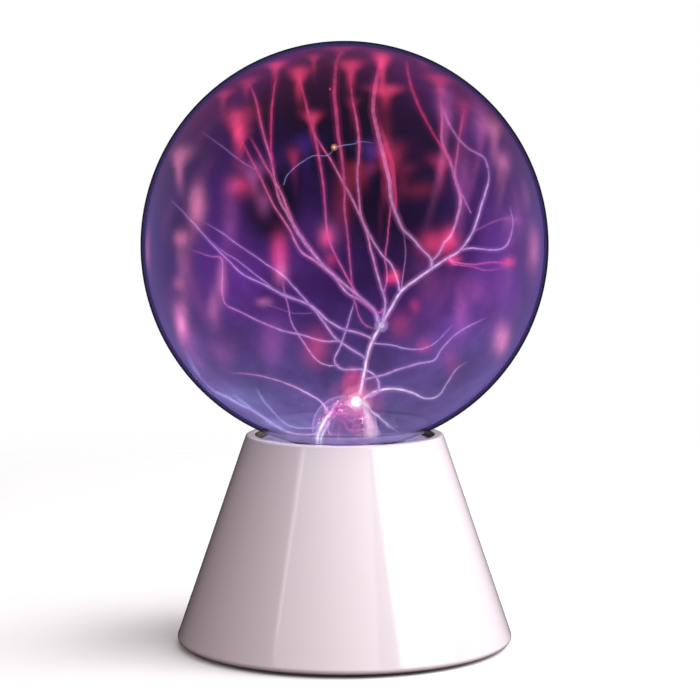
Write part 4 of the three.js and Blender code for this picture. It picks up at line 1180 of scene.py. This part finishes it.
piece("electrode_wool_fibres", wool.mesh(), fibre_wool(), "electrode_wool")
core_r = WOOL_R - 1.8 * MM
CORE_CORNER = 3 * MM
piece("electrode_wool_core", turned([
    *in_mm((0, 112.4), (1.8, 112.4)),
    (1.8 * MM, WOOL_LOW_Z),
    *arc(core_r - CORE_CORNER, WOOL_LOW_Z + CORE_CORNER, CORE_CORNER, -math.pi / 2, 0, 8),
    *arc(0, DOME_Z, core_r, 0, math.pi / 2, 16)[:-1],
    (0, DOME_Z + core_r),
], SMALL), packed_wool(), slot="steel_wool")


def sheath_glow():
    """The gas clings to the electrode and shows most round its outline."""
    mat, n = material("electrode_sheath", glows=True)
    outline = n.math("POWER", n.facing(), 3.0)
    opacity = n.math("MULTIPLY", outline, n.span(n.height(), 98 * MM, 108 * MM))
    light = n.add("Emission", {
        "Color": n.mix(n.noise(90, 3), (3.2, 1.6, 2.9, 1), (2.4, 1.9, 4.2, 1)),
        "Strength": n.span(n.noise(300, 3), 0.3, 0.7, 0.7, 1.3),
    })
    n.surface(n.see_through(n.math("MULTIPLY", opacity, 0.55), light))
    return mat


sheath_r = ELECTRODE_R + 0.5 * MM
piece("electrode_sheath", turned([
    (0, 96 * MM),
    (sheath_r, 96 * MM),
    *arc(0, DOME_Z, sheath_r, 0, math.pi / 2, 24)[:-1],
    (0, DOME_Z + sheath_r),
], MEDIUM), sheath_glow()).visible_shadow = False

# ---- the glowing film inside the globe
FILM_SEGMENTS = 288
FILM_SEAT_R = 24 * MM
INDIGO = np.array((0.056, 0.016, 0.155))
BLACK = np.array((0.004, 0.002, 0.005))
PURPLE = np.array((0.110, 0.020, 0.140))
LOW_BLUE = np.array((0.19, 0.170, 0.41))
LIMB_BLUE = np.array((0.35, 0.26, 0.68))
LIMB_PINK = np.array((0.40, 0.055, 0.17))
# Painted light round the seat, where the pale rim of the well shows lit through the glass, and a painted
# contact shadow where the globe meets the rim.
SEAT_PAINTED_LIGHT = np.array((0.30, 0.25, 0.56))
SEAT_PAINTED_SHADOW = np.array((0.020, 0.008, 0.045))
BAND_FROM = (36 * MM, 40 * MM)  # radii over which the painted light band round the seat comes in
BAND_TO = (42.6 * MM, 43.4 * MM)
SEAT_SHADOW_R = 43.9 * MM
SEAT_SHADOW_WIDTH = 0.9 * MM

# Soft glows where the discharge meets the glass, by colour and wall (-1 near, 1 far): right, up,
# width and height in hundredths of the globe's radius, and strength.
FLARES = {
    ("hot", -1): [
        (-33, 87, 3.9, 3.1, 1), (-22, 83, 3.9, 4.4, 1), (3, 87, 4.4, 3.5, 1.1),
        (18, 90, 3.5, 5.9, 1.2), (20, 75, 5.4, 3.1, 1), (-58, 73, 3.5, 2.9, 0.8),
        (-52, 61, 5.1, 5.9, 1.1), (-50, 54, 2.9, 3.9, 0.8), (-51, 29, 4.9, 3.9, 0.7),
        (-2, 95, 5.9, 2.5, 0.6), (49, 2, 5.9, 4.4, 0.7), (46, 80, 4.9, 3.5, 0.9),
        (37, 90, 5.9, 2.9, 0.6), (-9, 4, 2.4, 3.5, 0.8), (22, 43, 4.9, 6.9, 0.5),
        (-32, -4, 2.9, 6.9, 0.9), (-14, -50, 4.5, 6.9, 0.5), (24, -15, 2.2, 2.2, 1.6),
        (51, 3, 2.2, 4.4, 1.1), (53, -7, 2.7, 1.4, 1.3), (80, -8, 2.5, 1.8, 1.2),
        (39, -49, 2.9, 2.9, 0.4),
    ],
    ("hot", 1): [
        (-16, 63, 3.5, 3.9, 1.3), (4, 70, 2.5, 3.9, 0.5), (-48, 81, 4.4, 3.9, 0.8),
        (-25, 43, 2.7, 5.9, 0.6), (-15, 93, 2.9, 3.9, 0.8), (48, 41, 4.9, 4.9, 0.7),
        (59, 68, 3.3, 5.9, 0.6), (-7, -7, 2.5, 3.3, 0.9), (35, -30, 2.2, 2.9, 0.9),
        (28, -39, 5.4, 5.9, 0.5), (43, 1, 5.9, 4.9, 0.8), (53, -58, 3.5, 5.4, 0.4),
        (20, 50, 2.5, 16, 0.5),
    ],
    ("rose", 1): [
        (-45, 37, 4.9, 4.9, 0.9), (-40, 22, 2.5, 4.9, 0.8), (-36, -48, 4.1, 7.3, 0.7),
        (-8, 4, 4.4, 5.9, 0.7), (84, 13, 2.7, 1.8, 1), (64, -22, 5.4, 5.4, 0.7),
        (42, -20, 6, 10, 0.5),
    ],
    ("red", 1): [
        (9, 38, 6.4, 3.4, 0.9), (3, 32, 4.1, 4.1, 0.9), (37, 28, 5.9, 3.1, 0.6),
        (29, 37, 4.4, 4.4, 0.5), (-1, 20, 3.5, 8.8, 0.5),
    ],
    ("pale", -1): [
        (72, 57, 4.9, 5.9, 0.7), (-80, 43, 4.4, 5.4, 1.1), (-72, 19, 3.1, 7.3, 1.2),
        (-96, -2, 2, 7.8, 0.7), (-31, -14, 2.4, 3.9, 0.8), (-80, -39, 2.5, 7.8, 1.3),
        (-60, -16, 1.8, 7.8, 0.6), (92, -2, 2.9, 8.3, 0.8), (77, -46, 3.3, 6.4, 1.2),
    ],
    ("pale", 1): [
        (77, 42, 2.9, 5.9, 0.6), (-81, 4, 2.9, 3.5, 1.2), (-40, -28, 3.1, 1.8, 1.2),
        (-65, -30, 2.7, 7.3, 0.8), (-83, -19, 2.7, 2.9, 0.5), (79, 39, 3.3, 8.8, 0.7),
        (90, 24, 2.9, 6.9, 0.4), (-80, -12, 3, 12, 0.4),
    ],
    ("blue", 1): [
        (13, 47, 4.9, 4.9, 0.8), (-19, 50, 3.9, 4.9, 0.6),
    ],
    ("rose", -1): [
        (57, -32, 2.5, 7.3, 0.6), (49, 66, 3, 11, 0.9), (58, 36, 3.5, 17, 0.45),
        (66, 60, 3, 10, 0.6), (-56, 16, 2.5, 11, 0.45), (-60, -52, 5, 6, 0.35),
    ],
    ("mist", -1): [
        (-36, -88, 12, 3, 0.9), (-56, -76, 10, 5, 0.6),
    ],
}
FLARE_TINTS = {
    "hot": np.array((0.80, 0.055, 0.15)),
    "rose": np.array((0.40, 0.09, 0.30)),
    "pale": np.array((0.74, 0.21, 0.36)),
    "red": np.array((0.42, 0.03, 0.07)),
    "blue": np.array((0.07, 0.03, 0.30)),
    "mist": np.array((0.13, 0.20, 0.30)),
}
SIDE_FLARES = 46
BACK_GAIN = 3.2  # flares on the back wall are seen through the front one
# Dark pockets: azimuth, height, and half width and height, as shares of the globe's radius.
DARK_LOBES = [
    (-77, 0.42, 0.36, 0.46), (-97, 0.72, 0.30, 0.22), (-118, 0.72, 0.13, 0.14),
    (-110, 0.22, 0.14, 0.16), (98, 0.45, 0.46, 0.50), (10, 0.45, 0.30, 0.35), (190, 0.5, 0.3, 0.35),
]
DRIFTS = 26


def film_mesh():
    """A sphere just inside the glass, open at the neck, coloured at its vertices."""
    low = math.asin(FILM_SEAT_R / FILM_R)
    seat_end = 0.52  # the seat's painted light band and the painted shadow line round it lie below this angle
    seat = [low + (seat_end - low) * i / 40 for i in range(40)]  # finer rings for the painted shadow line
    rest = [seat_end + (math.pi - seat_end) * i / 150 for i in range(151)]
    profile = [(FILM_R * math.sin(b), GLOBE_Z - FILM_R * math.cos(b)) for b in seat + rest]
    profile[-1] = (0, GLOBE_Z + FILM_R)
    turn = [TAU * k / FILM_SEGMENTS for k in range(FILM_SEGMENTS)]
    verts = [(r * math.cos(a), r * math.sin(a), z) for r, z in profile[:-1] for a in turn]
    verts.append((0, 0, profile[-1][1]))
    faces = bands(0, len(profile) - 2, FILM_SEGMENTS)
    top = len(verts) - 1
    first = top - FILM_SEGMENTS
    faces += [[first + k, first + (k + 1) % FILM_SEGMENTS, top] for k in range(FILM_SEGMENTS)]
    mesh = bpy.data.meshes.new("gas_glow")
    mesh.from_pydata(verts, [], faces)
    mesh.shade_smooth()
    return mesh


def smooth(value, low, high):
    t = np.clip((value - low) / (high - low), 0, 1)
    return t * t * (3 - 2 * t)


def add_flare(color, unit, at, wide, high, tint, right=(1, 0, 0), flared=False):
    """Adds a soft glow round a direction. Its width and height are as seen from the front, or
    from the side whose rightward direction is given. A flared one narrows and fades downwards."""
    out = np.array(at.normalized())
    right = np.array(right)
    up = np.array((0, 0, 1))
    toward = np.cross(right, up)
    flat = np.array((out @ right, out @ up))
    radius = max(np.linalg.norm(flat), 1e-6)
    flat /= radius
    slant = math.sqrt(max(1 - radius**2, 0))
    squeeze = max(slant, 0.45)
    radial = (flat[0] * right + flat[1] * up) * slant - toward * radius * np.sign(out @ toward)
    around = -flat[1] * right + flat[0] * up
    step = unit - out
    d_radial, d_around = step @ radial * squeeze, step @ around
    across = (d_radial * flat[0] - d_around * flat[1]) / wide
    along = (d_radial * flat[1] + d_around * flat[0]) / high
    if flared:
        across = across / np.clip(0.85 + 0.40 * along, 0.35, 1.7)
        along = np.where(along > 0, along / 0.75, along / 1.7)
    level = np.exp(-(across**2 + along**2) / 2) * ((unit @ out) > 0.5)
    color += level[:, None] * tint


def paint_film(mesh):
    count = len(mesh.vertices)
    place = np.empty(3 * count)
    mesh.vertices.foreach_get("co", place)
    place = place.reshape(-1, 3) - np.array(GLOBE)
    unit = place / np.linalg.norm(place, axis=1)[:, None]
    x, y, z = unit.T
    # Dark pockets high on each side, the rest indigo with drifts of purple, lighter at the bottom.
    dark = np.zeros(count)
    for azimuth, height, wide, high in DARK_LOBES:
        a = math.radians(azimuth)
        facing = x * math.cos(a) + y * math.sin(a)
        across = -x * math.sin(a) + y * math.cos(a)
        lobe = (facing > 0) * np.exp(-(across / wide) ** 2 - ((z - height) / high) ** 2)
        dark = np.maximum(dark, np.minimum(1.5 * lobe, 1))
    drift = np.zeros(count)
    for _ in range(DRIFTS):
        wave = np.array([rng.gauss(0, 5.0), rng.gauss(0, 5.0), rng.gauss(0, 2.6)])
        drift += np.sin(unit @ wave + rng.uniform(0, TAU))
    drift = smooth(drift / DRIFTS**0.5, -0.9, 1.3)
    haze = INDIGO * (0.55 + 0.65 * drift)[:, None] + (PURPLE * (drift**2)[:, None]) * 0.5
    haze *= 1 - smooth(z, -0.15, 0.55)[:, None] * np.array((0.46, 0.50, 0.42))
    haze = haze * (1 - dark)[:, None] + BLACK * dark[:, None]
    low = smooth(-z, 0.15, 0.95)
    haze += LOW_BLUE * (low * (0.45 + 0.55 * drift))[:, None] * 0.8
    for (kind, side), flares in FLARES.items():
        tint = FLARE_TINTS[kind] * (1 if side < 0 else BACK_GAIN)
        shrink = 0.82 if kind in ("hot", "pale") else 1
        for px, pz, wide, high, gain in flares:
            at = on_glass(px / 100, pz / 100, side, FILM_R) - GLOBE
            wide, high = shrink * wide / 100, shrink * high / 100
            add_flare(haze, unit, at, wide, high, tint * gain, flared=pz > 35)
    for i in range(SIDE_FLARES):
        a = (1 if i % 2 else -1) * rng.uniform(0.18, 0.42) * math.pi
        a += math.pi / 2 * (2 if i % 4 > 1 else 1)
        height = rng.uniform(-0.55, 0.93)
        flat = math.sqrt(1 - height**2)
        at = Vector((flat * math.cos(a), flat * math.sin(a), height))
        kind = "hot" if height > 0.6 else rng.choice(("rose", "pale"))
        tint = FLARE_TINTS[kind] * rng.uniform(0.35, 0.8)
        if abs(at.x) > 0.72:
            add_flare(haze, unit, at, rng.uniform(0.03, 0.05), rng.uniform(0.05, 0.10), tint, (0, 1, 0))
    # Painted light band round the seat and a painted contact shadow line at its edge.
    r = np.hypot(place[:, 0], place[:, 1])
    bottom = z < 0
    seat_light_band = (smooth(r, *BAND_FROM) * (1 - smooth(r, *BAND_TO)) * bottom)[:, None]
    haze = haze * (1 - seat_light_band) + SEAT_PAINTED_LIGHT * seat_light_band
    seat_shadow = (np.exp(-((r - SEAT_SHADOW_R) / SEAT_SHADOW_WIDTH) ** 2) * bottom)[:, None]
    haze = haze * (1 - seat_shadow) + SEAT_PAINTED_SHADOW * seat_shadow
    pink = smooth(z, 0.10, 0.85)[:, None]
    limb = LIMB_BLUE * (1 - pink) + LIMB_PINK * pink
    limb = limb * (1 - seat_shadow) * (1 - seat_light_band)
    for name, values in (("haze", haze), ("limb", limb)):
        layer = mesh.attributes.new(name, "FLOAT_COLOR", "POINT")
        layer.data.foreach_set("color", np.hstack([values, np.ones((count, 1))]).ravel())


def film_glow():
    """Light that the mesh holds, stronger towards the outline, over what lies behind."""
    mat, n = material("gas_glow", glows=True)
    haze = n.add("Attribute", attribute_name="haze").outputs["Color"]
    limb = n.add("Attribute", attribute_name="limb").outputs["Color"]
    edge = n.math("POWER", n.facing(), 2.6)
    drifting = n.span(n.noise(40, 5, 0.6), 0.3, 0.7, 0.68, 1.32)
    haze_light = n.add("Emission", {"Color": haze, "Strength": drifting})
    limb_light = n.add("Emission", {"Color": limb, "Strength": n.math("MULTIPLY", edge, 0.62)})
    both = n.add("AddShader", {0: haze_light.outputs[0], 1: limb_light.outputs[0]})
    n.surface(n.see_through(FILM_ALPHA, both))
    return mat


film_surface = film_mesh()
paint_film(film_surface)
piece("gas_glow", film_surface, film_glow()).visible_shadow = False

# ---- floor, light and world
ROOM_LIGHT = (0.094, 0.050, 0.050)
ROOM_MIRRORED = (0.020, 0.016, 0.022)
ROOM_THROUGH_GLASS = (0.080, 0.052, 0.200)
FLOOR_R = 1.5
LIT_POINT = Vector((0, 0, 0.08))


def floor_paint():
    """Matt white that fades out round the object."""
    mat, n = material("floor")
    distance = n.add("VectorMath", {0: n.place()}, operation="LENGTH").outputs["Value"]
    matt = n.add("BsdfPrincipled", {
        "Base Color": n.mix(n.noise(40), (0.93, 0.93, 0.93, 1), (0.96, 0.96, 0.96, 1)),
        "Roughness": 0.9,
    })
    faded = n.math("SUBTRACT", 1.0, n.span(distance, 0.25, 0.9))
    n.surface(n.see_through(faded, matt))
    return mat


floor_mesh = bpy.data.meshes.new("floor")
floor_mesh.from_pydata([(x, y, 0) for x, y in circle(FLOOR_R, steps=96)], [], [list(range(96))])
floor_mesh.materials.append(floor_paint())
floor = in_scene("floor", floor_mesh)
floor.visible_transmission = False
floor.visible_glossy = False
floor.visible_diffuse = False

world = bpy.data.worlds.new("studio")
world.use_nodes = True
bpy.context.scene.world = world
n = Nodes(world.node_tree)
path = n.add("LightPath").outputs
tint = n.mix(path["Is Diffuse Ray"], rgba(ROOM_MIRRORED), rgba(ROOM_LIGHT))
tint = n.mix(path["Is Transmission Ray"], tint, rgba(ROOM_THROUGH_GLASS))
tint = n.mix(path["Is Camera Ray"], tint, (1, 1, 1, 1))
n.add("OutputWorld", {"Surface": n.add("Background", {"Color": tint}).outputs[0]})

glass_pieces = bpy.data.collections.new("glass_pieces")
for obj in (globe, electrode):
    glass_pieces.objects.link(obj)
for entry in glass_pieces.collection_objects:
    entry.light_linking.link_state = "EXCLUDE"


def softbox(name, azimuth, elevation, distance, width, height, power):
    """A soft light, at an angle round from the front towards the right. It misses the glass."""
    light = bpy.data.lights.new(name, "AREA")
    light.shape = "RECTANGLE"
    light.size = width
    light.size_y = height
    light.energy = power
    obj = in_scene(name, light)
    a, e = math.radians(azimuth), math.radians(elevation)
    offset = Vector((math.sin(a) * math.cos(e), -math.cos(a) * math.cos(e), math.sin(e)))
    obj.location = LIT_POINT + distance * offset
    obj.rotation_euler = (-offset).to_track_quat("-Z", "Y").to_euler()
    obj.visible_camera = False
    obj.light_linking.receiver_collection = glass_pieces


softbox("key", 60, 34, 1.6, 1.3, 1.4, 23)
EDGE_POWERS = (6.75, 5.76, 4.68, 3.6, 2.52)  # the key's right side fades out in steps
for i, power in enumerate(EDGE_POWERS):
    softbox(f"key_edge_{i}", 88 + 12 * i, 34, 1.6, 0.335, 1.4, power)
softbox("fill", 28, 70, 1.8, 1.4, 1.4, 6)
softbox("rim", 180, 45, 1.8, 1.4, 1.0, 7)
softbox("front", -13, 34, 1.6, 2.3, 1.4, 12.3)
softbox("streak", -49, 27, 1.5, 0.05, 0.7, 0.26)

scene = bpy.context.scene
scene.view_settings.view_transform = "Standard"
scene.cycles.transparent_max_bounces = 64
scene.cycles.max_bounces = 20
scene.cycles.transmission_bounces = 16

bpy.context.view_layer.update()
